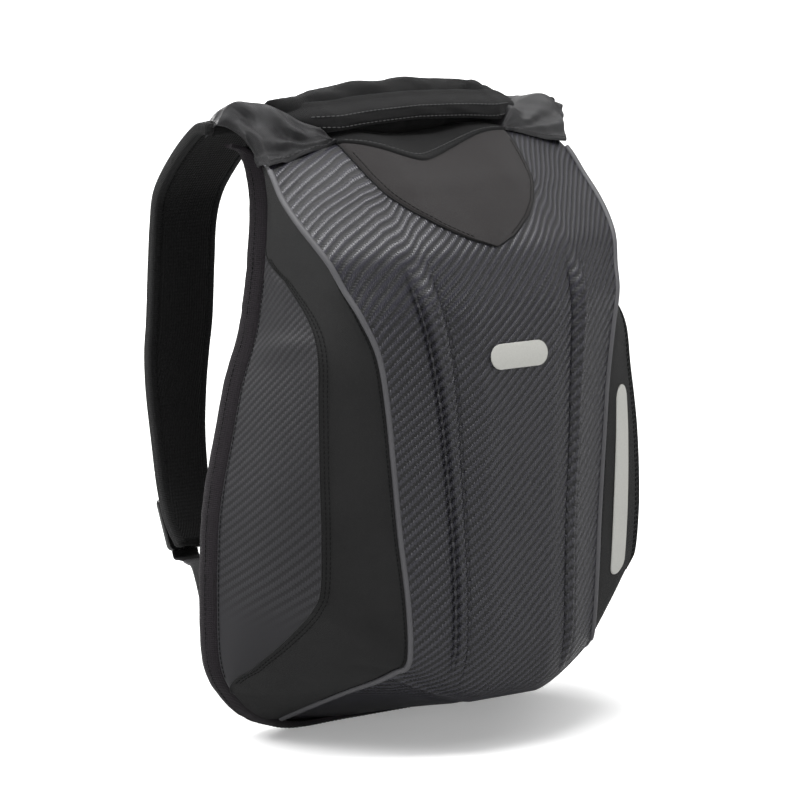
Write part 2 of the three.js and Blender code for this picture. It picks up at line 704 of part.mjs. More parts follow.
// The place, run and rear-facing direction of a strap's centre line.
function strapFrame(at) {
  const last = STRAP_PATH.length - 1;
  const run = strapCentre(Math.min(at + 0.05, last)).sub(strapCentre(Math.max(at - 0.05, 0)));
  run.x = 0;
  run.normalize();
  return { centre: strapCentre(at), run, rear: new THREE.Vector3(1, 0, 0).cross(run).normalize() };
}

function strap(side) {
  const across = new THREE.Vector3(1, 0, 0);
  const rings = steps(0, STRAP_PATH.length - 1, 22).map((at) => {
    const { centre, rear } = strapFrame(at);
    const wide = STRAP_WIDTH * along(STRAP_PATH, "wide", at);
    const ring = flatRing(centre, across, rear, wide / 2, STRAP_THICKNESS / 2);
    return side > 0 ? ring : ring.map(mirrored);
  });
  return ringSolid(rings);
}

// A flat band through the given points, level across the X axis, with a width for each end.
function band(points, startWidth, endWidth, thickness, side) {
  const curve = new THREE.CatmullRomCurve3(points, false, "centripetal");
  const count = (points.length - 1) * 2;
  const rings = steps(0, 1, count).map((share) => {
    const run = curve.getTangent(share);
    run.x = 0;
    const rear = new THREE.Vector3(1, 0, 0).cross(run.normalize());
    const width = startWidth + (endWidth - startWidth) * share;
    const ring = flatRing(curve.getPoint(share), new THREE.Vector3(1, 0, 0), rear, width / 2, thickness / 2);
    return side > 0 ? ring : ring.map(mirrored);
  });
  return ringSolid(rings);
}

// The buckle lies behind the strap's end, with room between them for the band that holds it.
const BUCKLE_BEHIND = STRAP_THICKNESS / 2 + CLEARANCE * 2 + WEBBING_THICKNESS + BUCKLE_THICKNESS / 2;
const BAND_OFF_BUCKLE = BUCKLE_THICKNESS / 2 + CLEARANCE + WEBBING_THICKNESS / 2;
const SLOT_LENGTH = (BUCKLE_LENGTH - 3 * BUCKLE_BAR) / 2;

// A point by its distance down the buckle and behind the buckle's middle plane.
function bucklePoint(down, behind) {
  const { centre, run, rear } = strapFrame(BUCKLE_ROW);
  return centre.addScaledVector(rear, BUCKLE_BEHIND + behind).addScaledVector(run, down);
}

// A ladder buckle: a frame with three bars, cut through by two slots.
function buckle(side) {
  const frame = roundedRectangle(new THREE.Shape(), BUCKLE_WIDTH, BUCKLE_LENGTH, 0, 5);
  for (const centre of [-(SLOT_LENGTH + BUCKLE_BAR) / 2, (SLOT_LENGTH + BUCKLE_BAR) / 2]) {
    frame.holes.push(roundedRectangle(new THREE.Path(), WEBBING_WIDTH + 2, SLOT_LENGTH, centre, 1));
  }
  const geometry = new THREE.ExtrudeGeometry(frame, {
    depth: BUCKLE_THICKNESS, bevelEnabled: false, curveSegments: 2,
  });
  geometry.translate(0, 0, -BUCKLE_THICKNESS / 2);
  const { run, rear } = strapFrame(BUCKLE_ROW);
  geometry.applyMatrix4(new THREE.Matrix4().makeBasis(new THREE.Vector3(1, 0, 0), run, rear));
  const centre = bucklePoint(0, 0);
  geometry.translate(side * centre.x, centre.y, centre.z);
  return geometry;
}

// The short band that holds the buckle: up the strap's rear face, round the buckle's top bar.
function buckleAnchor(side) {
  const bar = -(BUCKLE_LENGTH - BUCKLE_BAR) / 2;
  const past = bar + BUCKLE_BAR / 2 + CLEARANCE + WEBBING_THICKNESS;
  const start = bar - ANCHOR_LENGTH;
  const corner = bar + BUCKLE_BAR / 2 + CLEARANCE;
  const face = BUCKLE_THICKNESS / 2;
  return band([
    bucklePoint(start, -BAND_OFF_BUCKLE), bucklePoint((start + bar) / 2, -BAND_OFF_BUCKLE),
    bucklePoint(bar, -BAND_OFF_BUCKLE), bucklePoint(corner, -BAND_OFF_BUCKLE), bucklePoint(past, -face),
    bucklePoint(past, face), bucklePoint(corner, BAND_OFF_BUCKLE), bucklePoint(bar, BAND_OFF_BUCKLE),
    bucklePoint(bar - BUCKLE_BAR * 2, BAND_OFF_BUCKLE * 0.7),
  ], WEBBING_WIDTH, WEBBING_WIDTH, WEBBING_THICKNESS, side);
}

// The sewn tab at the back panel's lower corner, narrowing to the webbing's width.
const TAB_PATH = table(
  ["out", "behind", "up"],
  [0.83, 0.0, 0.2],
  [0.822, 0.13, 0.235],
  [0.812, 0.29, 0.262],
);

function tabPoint(row) {
  const seat = PANEL_THICKNESS + CLEARANCE + TAB_WALL / 2;
  return place(BODY_HALF_WIDTH * along(TAB_PATH, "out", row),
    -seat - STRAP_REACH * along(TAB_PATH, "behind", row), BODY_HEIGHT * along(TAB_PATH, "up", row));
}

function strapTab(side) {
  return band([0, 0.5, 1, 1.5, 2].map(tabPoint), TAB_BASE_WIDTH, WEBBING_WIDTH + 2, TAB_WALL, side);
}

// The adjusting webbing: from the tab up behind the buckle's lower bar and through its slot.
function webbing(side) {
  const end = TAB_PATH.length - 1;
  const lower = (BUCKLE_LENGTH - BUCKLE_BAR) / 2;
  const run = tabPoint(end).sub(tabPoint(end - 0.1)).normalize();
  const start = tabPoint(end).addScaledVector(run, CLEARANCE + WEBBING_THICKNESS / 2);
  return band([
    start, start.clone().lerp(bucklePoint(lower * 1.4, BAND_OFF_BUCKLE), 0.5),
    bucklePoint(lower * 1.4, BAND_OFF_BUCKLE), bucklePoint(lower, BAND_OFF_BUCKLE),
    bucklePoint(lower - BUCKLE_BAR / 2 - CLEARANCE, BAND_OFF_BUCKLE),
    bucklePoint(lower - BUCKLE_BAR / 2 - CLEARANCE - WEBBING_THICKNESS, BUCKLE_THICKNESS / 2),
    bucklePoint(lower - BUCKLE_BAR - WEBBING_THICKNESS * 2, -BUCKLE_THICKNESS / 4),
  ], WEBBING_WIDTH, WEBBING_WIDTH, WEBBING_THICKNESS, side);
}

// A plain reflective bar seated flat on the shell's front.
function frontReflector() {
  const bar = roundedRectangle(new THREE.Shape(), BADGE_LENGTH, BADGE_HEIGHT, 0, BADGE_HEIGHT / 2 - 0.01);
  const geometry = new THREE.ExtrudeGeometry(bar, {
    depth: BADGE_WALL, bevelEnabled: false, curveSegments: 6,
  });
  const outward = outwardAt(BADGE_ROW, 0).setX(0).normalize();
  const sideways = new THREE.Vector3(1, 0, 0);
  const seat = shellSkin(BADGE_ROW, 0).addScaledVector(outward, CLEARANCE);
  geometry.applyMatrix4(new THREE.Matrix4().makeBasis(sideways, outward.clone().cross(sideways), outward));
  geometry.translate(seat.x, seat.y, seat.z);
  return geometry;
}

// A plain reflective strip down the right side panel.
const STRIP = { from: 9.2, to: 12.4, inner: 1.3, outer: 1.62 };

function sideReflector() {
  const outer = [];
  const inner = [];
  for (const at of steps(STRIP.from, STRIP.to, 12)) {
    const end = Math.min(at - STRIP.from, STRIP.to - at) / 0.25;
    const squeeze = end < 1 ? Math.sqrt(Math.max(0.1, 1 - (1 - end) ** 2)) : 1;
    const middle = (STRIP.inner + STRIP.outer) / 2;
    const half = ((STRIP.outer - STRIP.inner) / 2) * squeeze;
    const pairs = steps(middle - half, middle + half, 3).map((lane) => {
      const outward = outwardAt(at, lane);
      const skin = skinAt(at, lane).addScaledVector(outward, LAY_GAP);
      return [skin.clone().addScaledVector(outward, STRIP_WALL), skin];
    });
    outer.push(pairs.map((p) => p[0]));
    inner.push(pairs.map((p) => p[1]));
  }
  return sheetSolid(outer, inner);
}

function roundedRectangle(path, width, height, centre, radius) {
  const w = width / 2;
  const low = centre - height / 2;
  const high = centre + height / 2;
  path.moveTo(-w + radius, low);
  path.lineTo(w - radius, low);
  path.absarc(w - radius, low + radius, radius, -Math.PI / 2, 0, false);
  path.lineTo(w, high - radius);
  path.absarc(w - radius, high - radius, radius, 0, Math.PI / 2, false);
  path.lineTo(-w + radius, high);
  path.absarc(-w + radius, high - radius, radius, Math.PI / 2, Math.PI, false);
  path.lineTo(-w, low + radius);
  path.absarc(-w + radius, low + radius, radius, Math.PI, Math.PI * 1.5, false);
  return path;
}

const CLOTH_BLACK = new THREE.MeshStandardMaterial({ color: 0x232222, roughness: 0.9 });
const CARBON = new THREE.MeshStandardMaterial({ color: 0x2b2b30, roughness: 0.42 });
const EMBOSSED = new THREE.MeshStandardMaterial({ color: 0x2c2b30, roughness: 0.7 });
const PATCH_BROWN = new THREE.MeshStandardMaterial({ color: 0x3a3635, roughness: 0.85 });
const PIPING_GREY = new THREE.MeshStandardMaterial({ color: 0x6b6b72, roughness: 0.5 });
const MESH_BLACK = new THREE.MeshStandardMaterial({ color: 0x141414, roughness: 0.95 });
const WEBBING_BLACK = new THREE.MeshStandardMaterial({ color: 0x1a1a1b, roughness: 0.85 });
const PLASTIC = new THREE.MeshStandardMaterial({ color: 0x151515, roughness: 0.45 });
const REFLECTOR = new THREE.MeshStandardMaterial({ color: 0xe8e6dd, roughness: 0.4 });

const backpack = new THREE.Group();

function add(name, geometry, material) {
  const mesh = new THREE.Mesh(geometry, material);
  mesh.name = name;
  backpack.add(mesh);
}

add("shell", shell(), CARBON);
add("back_panel", backPanel(), MESH_BLACK);
add("edge_binding", binding(), CLOTH_BLACK);
add("yoke_pad", yoke(), CLOTH_BLACK);
add("top_cover", topCover(), CLOTH_BLACK);
add("front_patch", frontPatch(), PATCH_BROWN);
add("grab_handle", handle(), CLOTH_BLACK);
add("front_reflector", frontReflector(), REFLECTOR);
add("side_reflector", sideReflector(), REFLECTOR);
for (const [name, side] of [["left", -1], ["right", 1]]) {
  add(`side_panel_${name}`, sidePanel(side), CLOTH_BLACK);
  add(`side_gusset_${name}`, gusset(side), EMBOSSED);
  add(`piping_${name}`, piping(side), PIPING_GREY);
  add(`shoulder_cap_${name}`, shoulderCap(side), CLOTH_BLACK);
  add(`shoulder_strap_${name}`, strap(side), MESH_BLACK);
  add(`ladder_buckle_${name}`, buckle(side), PLASTIC);
  add(`buckle_anchor_${name}`, buckleAnchor(side), WEBBING_BLACK);
  add(`webbing_${name}`, webbing(side), WEBBING_BLACK);
  add(`strap_tab_${name}`, strapTab(side), CLOTH_BLACK);
}

export default backpack;
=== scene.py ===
"""A hard shell backpack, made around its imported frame: every piece in metres, in the frame's own axes."""

import math

import bpy
import numpy as np
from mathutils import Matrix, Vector


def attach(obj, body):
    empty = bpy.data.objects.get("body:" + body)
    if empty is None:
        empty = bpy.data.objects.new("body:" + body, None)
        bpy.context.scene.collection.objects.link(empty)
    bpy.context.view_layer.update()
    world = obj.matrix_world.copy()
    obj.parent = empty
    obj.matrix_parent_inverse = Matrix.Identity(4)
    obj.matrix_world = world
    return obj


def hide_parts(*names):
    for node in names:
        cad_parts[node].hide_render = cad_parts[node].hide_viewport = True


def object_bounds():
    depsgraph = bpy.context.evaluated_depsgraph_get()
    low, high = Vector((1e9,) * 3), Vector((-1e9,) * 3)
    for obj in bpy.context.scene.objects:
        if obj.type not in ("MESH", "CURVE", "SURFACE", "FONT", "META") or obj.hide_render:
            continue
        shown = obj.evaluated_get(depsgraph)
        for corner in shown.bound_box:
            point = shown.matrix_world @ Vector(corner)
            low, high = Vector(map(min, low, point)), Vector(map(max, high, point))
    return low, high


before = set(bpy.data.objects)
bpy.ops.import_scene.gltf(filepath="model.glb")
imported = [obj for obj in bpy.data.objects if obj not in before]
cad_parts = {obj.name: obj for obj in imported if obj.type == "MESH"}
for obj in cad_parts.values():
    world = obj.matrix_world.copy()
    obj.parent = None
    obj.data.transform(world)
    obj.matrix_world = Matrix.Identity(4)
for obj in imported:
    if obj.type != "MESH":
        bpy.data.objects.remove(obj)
CAD_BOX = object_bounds()

bl_info = {
    "name": "Hard Shell Backpack",
    "version": (1, 0, 0),
    "blender": (4, 5, 0),
    "location": "3D View > Sidebar > Backpack",
    "description": "Makes the pieces of a hard shell backpack around its frame",
    "category": "Add Mesh",
}

# Sizes that the pieces share with the frame, in metres
BODY_HALF_WIDTH = 0.187
BODY_DEPTH = 0.171
BODY_HEIGHT = 0.512
ORIGIN_UP = 0.250
CLEARANCE = 0.0003
SHELL_WALL = 0.003
CLOTH_WALL = 0.002
PANEL_THICKNESS = 0.013
BINDING_WIDTH = 0.014
BINDING_WALL = 0.003
EDGE_INSET = 0.005
PIPING_RADIUS = 0.0023
FLAT_FRONT = 0.32
LOBE_CURVE = 1.35
SIDE_BULGE = 0.004
LAY_GAP = 0.0008
FRONT_START = BINDING_WIDTH + CLEARANCE
FRONT_SPAN = BODY_DEPTH - FRONT_START
COVER_HALF_WIDTH = 0.083
COVER_DROOP_AT = 1.54
COVER_CORNER_AT = 0.85
YOKE_DEPTH = 0.015
YOKE_HALF_WIDTH = 0.111
STRAP_WIDTH = 0.060
STRAP_THICKNESS = 0.012
STRAP_REACH = 0.092
STRAP_CENTRE = 0.144
WEBBING_WIDTH = 0.025
WEBBING_THICKNESS = 0.002
BUCKLE_WIDTH = 0.036
BUCKLE_LENGTH = 0.044
BUCKLE_THICKNESS = 0.005
BUCKLE_BAR = 0.0045
BUCKLE_AT = 12.9
BUCKLE_STAND_OFF = 0.0030
SLOT_LENGTH = (BUCKLE_LENGTH - 3 * BUCKLE_BAR) / 2
BUCKLE_BEHIND = (STRAP_THICKNESS / 2 + CLEARANCE * 2 + WEBBING_THICKNESS + BUCKLE_THICKNESS / 2
                 + BUCKLE_STAND_OFF)
BAND_OFF_BUCKLE = BUCKLE_THICKNESS / 2 + CLEARANCE + WEBBING_THICKNESS / 2
STITCH_LIFT = 0.0002

SIDES = ((-1, "left"), (1, "right"))
SIDEWAYS = np.array([1.0, 0, 0])
FULL_TURN = 2 * math.pi
TINY = 1e-12
ROW_STEP = 0.05


def table(columns, *rows):
    """Rows of numbers as one array for each named column."""
    return {name: np.array([row[i] for row in rows], float) for i, name in enumerate(columns)}


# Outline of the back panel from the top centre down one side, as shares of half width and height
OUTLINE = table(
    ("out", "up"),
    (0.0, 0.937), (0.33, 0.936), (0.58, 0.935), (0.78, 0.934), (0.87, 0.933), (0.905, 0.929),
    (0.885, 0.923), (0.83, 0.92), (0.785, 0.911), (0.755, 0.89), (0.737, 0.86), (0.73, 0.82),
    (0.745, 0.739), (0.766, 0.685), (0.793, 0.634), (0.866, 0.56), (0.919, 0.476),
    (0.965, 0.4035), (0.989, 0.345), (0.998, 0.275), (1.0, 0.226), (0.994, 0.146),
    (0.959, 0.097), (0.867, 0.052), (0.779, 0.027), (0.691, 0.013), (0.543, 0.0), (0.27, 0.0),
    (0.0, 0.0),
)
BINDING_FROM = 6.7

# Cross-sections of the body from the top edge, down the front and back along the underside
SECTIONS = table(
    ("spine_depth", "spine_up", "pipe_out", "pipe_depth", "pipe_up", "seam_out", "seam_depth",
     "seam_up", "edge", "hump", "rib", "groove", "valley"),
    (0.017, 0.925, 0.77, 0.02, 0.92, 0.735, 0.0, 0.905, 8.4, 0.01, 0, 0.36, 0),
    (0.196, 0.916, 0.791, 0.179, 0.89, 0.735, 0.0, 0.885, 9.15, 0.012, 0, 0.36, 0),
    (0.451, 0.871, 0.802, 0.292, 0.8535, 0.73, 0.0, 0.855, 10.1, 0.003, 0, 0.36, 0),
    (0.566, 0.842, 0.798, 0.42, 0.82, 0.715, 0.0, 0.822, 10.95, 0, 0, 0.36, 0),
    (0.681, 0.8085, 0.78, 0.527, 0.791, 0.715, 0.0, 0.79, 11.35, 0, 0, 0.36, 0),
    (0.79, 0.773, 0.7545, 0.613, 0.762, 0.72, 0.0, 0.77, 11.6, 0, 0, 0.36, 0),
    (0.866, 0.7305, 0.72, 0.675, 0.7245, 0.77, 0.26, 0.7265, 12.25, 0, 0.05, 0.35, 0.2),
    (0.93, 0.6835, 0.6786, 0.752, 0.6835, 0.793, 0.496, 0.676, 12.9, 0, 0.55, 0.337, 0.7),
    (0.962, 0.625, 0.62, 0.8, 0.625, 0.817, 0.614, 0.629, 13.9, 0, 1, 0.317, 1),
    (0.981, 0.547, 0.5845, 0.813, 0.547, 0.8305, 0.6445, 0.5565, 14.85, 0, 1, 0.298, 0.9),
    (0.99, 0.459, 0.561, 0.8225, 0.459, 0.8465, 0.678, 0.459, 16.1, 0, 1, 0.286, 0.7),
    (0.994, 0.3515, 0.534, 0.8335, 0.3515, 0.849, 0.6956, 0.3515, 17.9, 0, 1, 0.268, 0.5),
    (1.0, 0.254, 0.507, 0.8545, 0.254, 0.846, 0.681, 0.2735, 18.95, 0, 1, 0.258, 0.3),
    (1.0, 0.176, 0.493, 0.855, 0.18, 0.853, 0.633, 0.242, 19.6, 0, 0.85, 0.257, 0.1),
    (0.965, 0.125, 0.4945, 0.834, 0.147, 0.858, 0.528, 0.211, 20.2, 0, 0.4, 0.259, 0),
    (0.895, 0.088, 0.5187, 0.779, 0.1365, 0.881, 0.3746, 0.17, 20.75, 0, 0, 0.26, 0),
    (0.76, 0.07, 0.5535, 0.68, 0.119, 0.909, 0.19, 0.125, 21.6, 0, 0, 0.26, 0),
    (0.52, 0.052, 0.588, 0.478, 0.0925, 0.92, 0.0, 0.07, 22.6, 0, 0, 0.26, 0),
    (0.25, 0.031, 0.62, 0.224, 0.0565, 0.84, 0.0, 0.045, 23.3, 0, 0, 0.26, 0),
    (0.0, 0.0105, 0.652, 0.0, 0.024, 0.72, 0.0, 0.0265, 24.6, 0, 0, 0.26, 0),
)
LAST_SECTION = 19.0
SEAM_FROM = 5.0
SEAM_TO = 17.0

PATCH_SHAPE = table(
    ("section", "half"),
    (0.8, 1.0), (1.22, 0.995), (1.6, 0.965), (1.97, 0.925), (2.6, 0.855), (3.3, 0.725),
    (3.94, 0.545), (4.33, 0.392), (4.65, 0.245), (4.87, 0.095), (4.97, 0.02),
)

HANDLE_PATH = table(
    ("out", "depth", "up", "tall"),
    (0.0, 0.12, 0.966, 0.92), (0.24, 0.12, 0.963, 0.96), (0.4, 0.115, 0.9585, 0.96),
    (0.46, 0.1, 0.9585, 0.92), (0.56, 0.02, 0.956, 0.85), (0.66, -0.07, 0.949, 0.6),
)

YOKE_SHAPE = table(
    ("out", "top", "depth"),
    (0.0, 1.014, 1.0), (0.4, 1.013, 1.0), (0.72, 1.004, 0.9), (0.9, 0.993, 0.65),
    (1.0, 0.984, 0.40), (1.14, 0.976, 0.25), (1.28, 0.966, 0.06),
)

STRAP_PATH = table(
    ("behind", "up", "wide", "out"),
    (0.05, 0.9505, 1.0, 1.0), (0.13, 0.951, 1.04, 1.0), (0.23, 0.946, 1.08, 1.0),
    (0.45, 0.915, 1.1, 1.0), (0.7, 0.871, 1.08, 1.0), (0.85, 0.834, 1.05, 1.0),
    (0.92, 0.789, 1.0, 1.0), (0.955, 0.724, 1.0, 1.0), (0.99, 0.637, 1.0, 1.0),
    (1.01, 0.586, 0.98, 1.01), (1.0, 0.527, 0.91, 1.022), (0.96, 0.451, 0.81, 1.028),
    (0.87, 0.371, 0.77, 1.035), (0.76, 0.32, 0.74, 1.035), (0.66, 0.284, 0.62, 1.03),
)
STRAP_LAST = 14.0

CAP_TOP = table(
    ("out", "depth", "up"),
    (0.449, 0.125, 0.9285), (0.56, 0.04, 0.952), (0.66, -0.045, 0.966), (0.8, -0.085, 0.973),
    (0.92, -0.1, 0.967),
)

TAB_PATH = table(
    ("out", "behind", "up"),
    (0.83, 0.0, 0.2), (0.822, 0.13, 0.235), (0.812, 0.29, 0.262),
)


# Shape functions: each takes and gives whole arrays
def along(rows, column, at):
    """A smooth curve through a table's column, at real-numbered rows."""
    values = rows[column]
    last = len(values) - 1
    at = np.clip(np.asarray(at, float), 0, last)
    i = np.minimum(np.floor(at).astype(int), last - 1)
    t = at - i
    before = values[np.maximum(i - 1, 0)]
    start = values[i]
    stop = values[i + 1]
    after = values[np.minimum(i + 2, last)]
    slope_start = (stop - before) / 2
    slope_stop = (after - start) / 2
    return ((2 * t**3 - 3 * t**2 + 1) * start + (t**3 - 2 * t**2 + t) * slope_start
            + (3 * t**2 - 2 * t**3) * stop + (t**3 - t**2) * slope_stop)


def place(out, depth, up):
    """Points from the distance outwards, the depth in front of the panel's seat and the height."""
    out, depth, up = np.broadcast_arrays(out, depth, up)
    return np.stack([out, -(depth + PANEL_THICKNESS), up - ORIGIN_UP], -1).astype(float)


def body_point(rows, at, mark=""):
    """Points from a table's columns out, depth and up, which are shares of the body's size."""
    return place(BODY_HALF_WIDTH * along(rows, mark + "out", at),
                 FRONT_START + FRONT_SPAN * along(rows, mark + "depth", at),
                 BODY_HEIGHT * along(rows, mark + "up", at))


BODY_MIDDLE = place(0, FRONT_START + FRONT_SPAN * 0.2, BODY_HEIGHT / 2)


def unit(vectors):
    length = np.linalg.norm(vectors, axis=-1, keepdims=True)
    return vectors / np.maximum(length, TINY)


def run_along(points, axis=0):
    """The length run from the first point, along one axis of a path or a grid."""
    step = np.linalg.norm(np.diff(points, axis=axis), axis=-1)
    run = np.cumsum(step, axis=axis)
    return np.concatenate([np.zeros_like(run.take([0], axis=axis)), run], axis=axis)


def bell(value, width):
    """A soft hump that is 1 where the value is 0."""
    return np.exp(-(value / width) ** 2)


def smooth(low, high, value):
    """A soft step from 0 at low to 1 at high."""
    t = np.clip((np.asarray(value, float) - low) / (high - low), 0, 1)
    return t * t * (3 - 2 * t)


def mirrored(points, side):
    """The points for the right side as they are, or turned over to the left side."""
    return points if side > 0 else points * np.array([-1.0, 1.0, 1.0])


def outline_point(at, inset, depth):
    """A point inside the outline of the back panel, at an inset from its edge."""
    last = len(OUTLINE["out"]) - 1
    at = np.asarray(at, float)
    ahead = np.minimum(at + ROW_STEP, last)
    behind = np.maximum(at - ROW_STEP, 0)
    run_out = BODY_HALF_WIDTH * (along(OUTLINE, "out", ahead) - along(OUTLINE, "out", behind))
    run_up = BODY_HEIGHT * (along(OUTLINE, "up", ahead) - along(OUTLINE, "up", behind))
    length = np.hypot(run_out, run_up)
    out = BODY_HALF_WIDTH * along(OUTLINE, "out", at) + inset * run_up / length
    up = BODY_HEIGHT * along(OUTLINE, "up", at) - inset * run_out / length
    return place(out, depth, up)


def spine_at(at):
    return place(0, FRONT_START + FRONT_SPAN * along(SECTIONS, "spine_depth", at),
                 BODY_HEIGHT * along(SECTIONS, "spine_up", at))


def pipe_at(at):
    return body_point(SECTIONS, at, "pipe_")


def edge_at(at):
    return outline_point(along(SECTIONS, "edge", at), EDGE_INSET, FRONT_START)


def seat_front(points):
    """Keeps points in front of the binding's face."""
    limited = points.copy()
    limited[..., 1] = np.minimum(limited[..., 1], -(FRONT_START + PANEL_THICKNESS))
    return limited


def seam_at(at):
    edge = edge_at(at)
    seam = seat_front(body_point(SECTIONS, at, "seam_"))
    away = np.clip(np.minimum(at - SEAM_FROM, SEAM_TO - at), 0, 1)[..., None]
    return edge + (seam - edge) * away


def shell_skin(at, share):
    """The smooth skin of the shell at a section and a share of the way from spine to pipe."""
    spine = spine_at(at)
    pipe = pipe_at(at)
    drop = np.power(np.maximum(0, share - FLAT_FRONT) / (1 - FLAT_FRONT), LOBE_CURVE)
    hump = BODY_HEIGHT * along(SECTIONS, "hump", at) * np.sin(np.pi * share) ** 2
    return np.stack([
        pipe[..., 0] * share,
        spine[..., 1] + (pipe[..., 1] - spine[..., 1]) * drop,
        spine[..., 2] + (pipe[..., 2] - spine[..., 2]) * drop + hump,
    ], -1)


def bulged(start, stop, share, bulge):
    point = start + (stop - start) * share[..., None]
    away = point - BODY_MIDDLE
    away[..., 2] = 0
    return point + unit(away) * (bulge * np.sin(np.pi * share))[..., None]


def side_skin(at, lane):
    """The cloth side: lane 1 is the pipe, 2 the seam and 3 the edge."""
    pipe = pipe_at(at)
    seam = seam_at(at)
    edge = edge_at(at)
    first = np.clip(lane - 1, 0, 1)
    second = np.clip(lane - 2, 0, 1)
    reach = np.minimum(1, np.linalg.norm(pipe - seam, axis=-1) / BODY_DEPTH * 4)
    width = np.minimum(1, np.linalg.norm(seam - edge, axis=-1) / BODY_DEPTH * 2)
    front = bulged(pipe, seam, first, SIDE_BULGE / 2 * reach)
    rear = bulged(seam, edge, second, SIDE_BULGE * width)
    return np.where((lane <= 2)[..., None], front, rear)


def shell_outward(at, share):
    """Outward direction of the shell's smooth skin."""
    step = 0.02
    at, share = np.broadcast_arrays(np.asarray(at, float), np.asarray(share, float))
    lower = np.minimum(at + step, LAST_SECTION)
    higher = np.maximum(at - step, 0)
    down = shell_skin(lower, share) - shell_skin(higher, share)
    across = shell_skin(at, share + step) - shell_skin(at, share - step)
    return unit(np.cross(down, across))


def grid_normals(points):
    """Directions across a grid of points, with empty rows filled from their neighbours."""
    normal = np.cross(np.gradient(points, axis=0), np.gradient(points, axis=1))
    good = np.linalg.norm(normal, axis=-1) > TINY
    for r in range(1, len(points)):
        normal[r][~good[r]] = normal[r - 1][~good[r]]
    for r in range(len(points) - 2, -1, -1):
        bad = np.linalg.norm(normal[r], axis=-1) <= TINY
        normal[r][bad] = normal[r + 1][bad]
    return unit(normal)


def wavy(seed, *coordinates):
    """A smooth made-up unevenness between about -1 and 1, the same for the same seed."""
    waves = 6
    highest = 3.5
    rng = np.random.default_rng(seed)
    total = 0
    for _ in range(waves):
        turn = rng.uniform(-1, 1, len(coordinates))
        phase = rng.uniform(0, FULL_TURN)
        total = total + np.sin(sum(t * c for t, c in zip(turn, coordinates)) * FULL_TURN + phase)
    return total / highest


# Mesh building
def linked(name, data):
    """A new object that is in the scene."""
    item = bpy.data.objects.new(name, data)
    bpy.context.scene.collection.objects.link(item)
    return item


def mesh_points(mesh):
    points = np.zeros(len(mesh.vertices) * 3)
    mesh.vertices.foreach_get("co", points)
    return points.reshape(-1, 3)


def lay_flat(mesh, uv):
    """Writes the flat place of every point into the mesh's own map."""
    layer = mesh.uv_layers.new(name="flat")
    corner = np.zeros(len(mesh.loops), np.int32)
    mesh.loops.foreach_get("vertex_index", corner)
    layer.data.foreach_set("uv", np.asarray(uv, float)[corner].astype(np.float32).ravel())


def new_piece(name, points, faces, material, slot, uv=None, sharp=50):
    """A mesh object with outward faces that rides on the frame."""
    points = np.asarray(points, float)
    mesh = bpy.data.meshes.new(name)
    mesh.from_pydata(points.tolist(), [], faces)
    mesh.update()
    mesh.calc_loop_triangles()
    corners = np.zeros(len(mesh.loop_triangles) * 3, np.int32)
    mesh.loop_triangles.foreach_get("vertices", corners)
    a, b, c = (points[corners.reshape(-1, 3)[:, k]] for k in range(3))
    if np.einsum("ij,ij->i", a, np.cross(b, c)).sum() < 0:
        mesh.flip_normals()
    if uv is not None:
        lay_flat(mesh, uv)
    mesh.shade_smooth()
    mesh.set_sharp_from_angle(angle=math.radians(sharp))
    mesh.materials.append(material)
    piece = linked(name, mesh)
    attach(piece, "root")
    return piece


def sheet_piece(name, outer, inner, look, slot, uv):
    """Closes two facing grids into one solid whose rim is rounded."""
    rim_bulge = 0.35
    rows, columns = outer.shape[:2]
    count = rows * columns
    ids = np.arange(count).reshape(rows, columns)
    a, b, c, d = ids[:-1, :-1], ids[1:, :-1], ids[1:, 1:], ids[:-1, 1:]
    front = np.stack([a, b, c, d], -1).reshape(-1, 4)
    back = np.stack([a, d, c, b], -1).reshape(-1, 4) + count
    loop = np.concatenate([ids[0, :-1], ids[:-1, -1], ids[-1, :0:-1], ids[:0:-1, 0]])
    inside = np.concatenate([ids[1, :-1], ids[:-1, -2], ids[-2, :0:-1], ids[:0:-1, 1]])
    flat_out = outer.reshape(-1, 3)
    flat_in = inner.reshape(-1, 3)
    wall = np.linalg.norm(flat_out[loop] - flat_in[loop], axis=1, keepdims=True)
    away = unit(flat_out[loop] - flat_out[inside])
    rim = (flat_out[loop] + flat_in[loop]) / 2 + away * wall * rim_bulge
    rim_ids = 2 * count + np.arange(len(loop))
    following = np.roll(loop, -1)
    rim_following = np.roll(rim_ids, -1)
    edge_one = np.stack([loop, rim_ids, rim_following, following], -1)
    edge_two = np.stack([rim_ids, loop + count, following + count, rim_following], -1)
    faces = np.concatenate([front, back, edge_one[:, ::-1], edge_two[:, ::-1]])
    points = np.concatenate([flat_out, flat_in, rim])
    flat_uv = uv.reshape(-1, 2)
    return new_piece(name, points, faces.tolist(), finish(look), slot,
                     np.concatenate([flat_uv, flat_uv, flat_uv[loop]]))


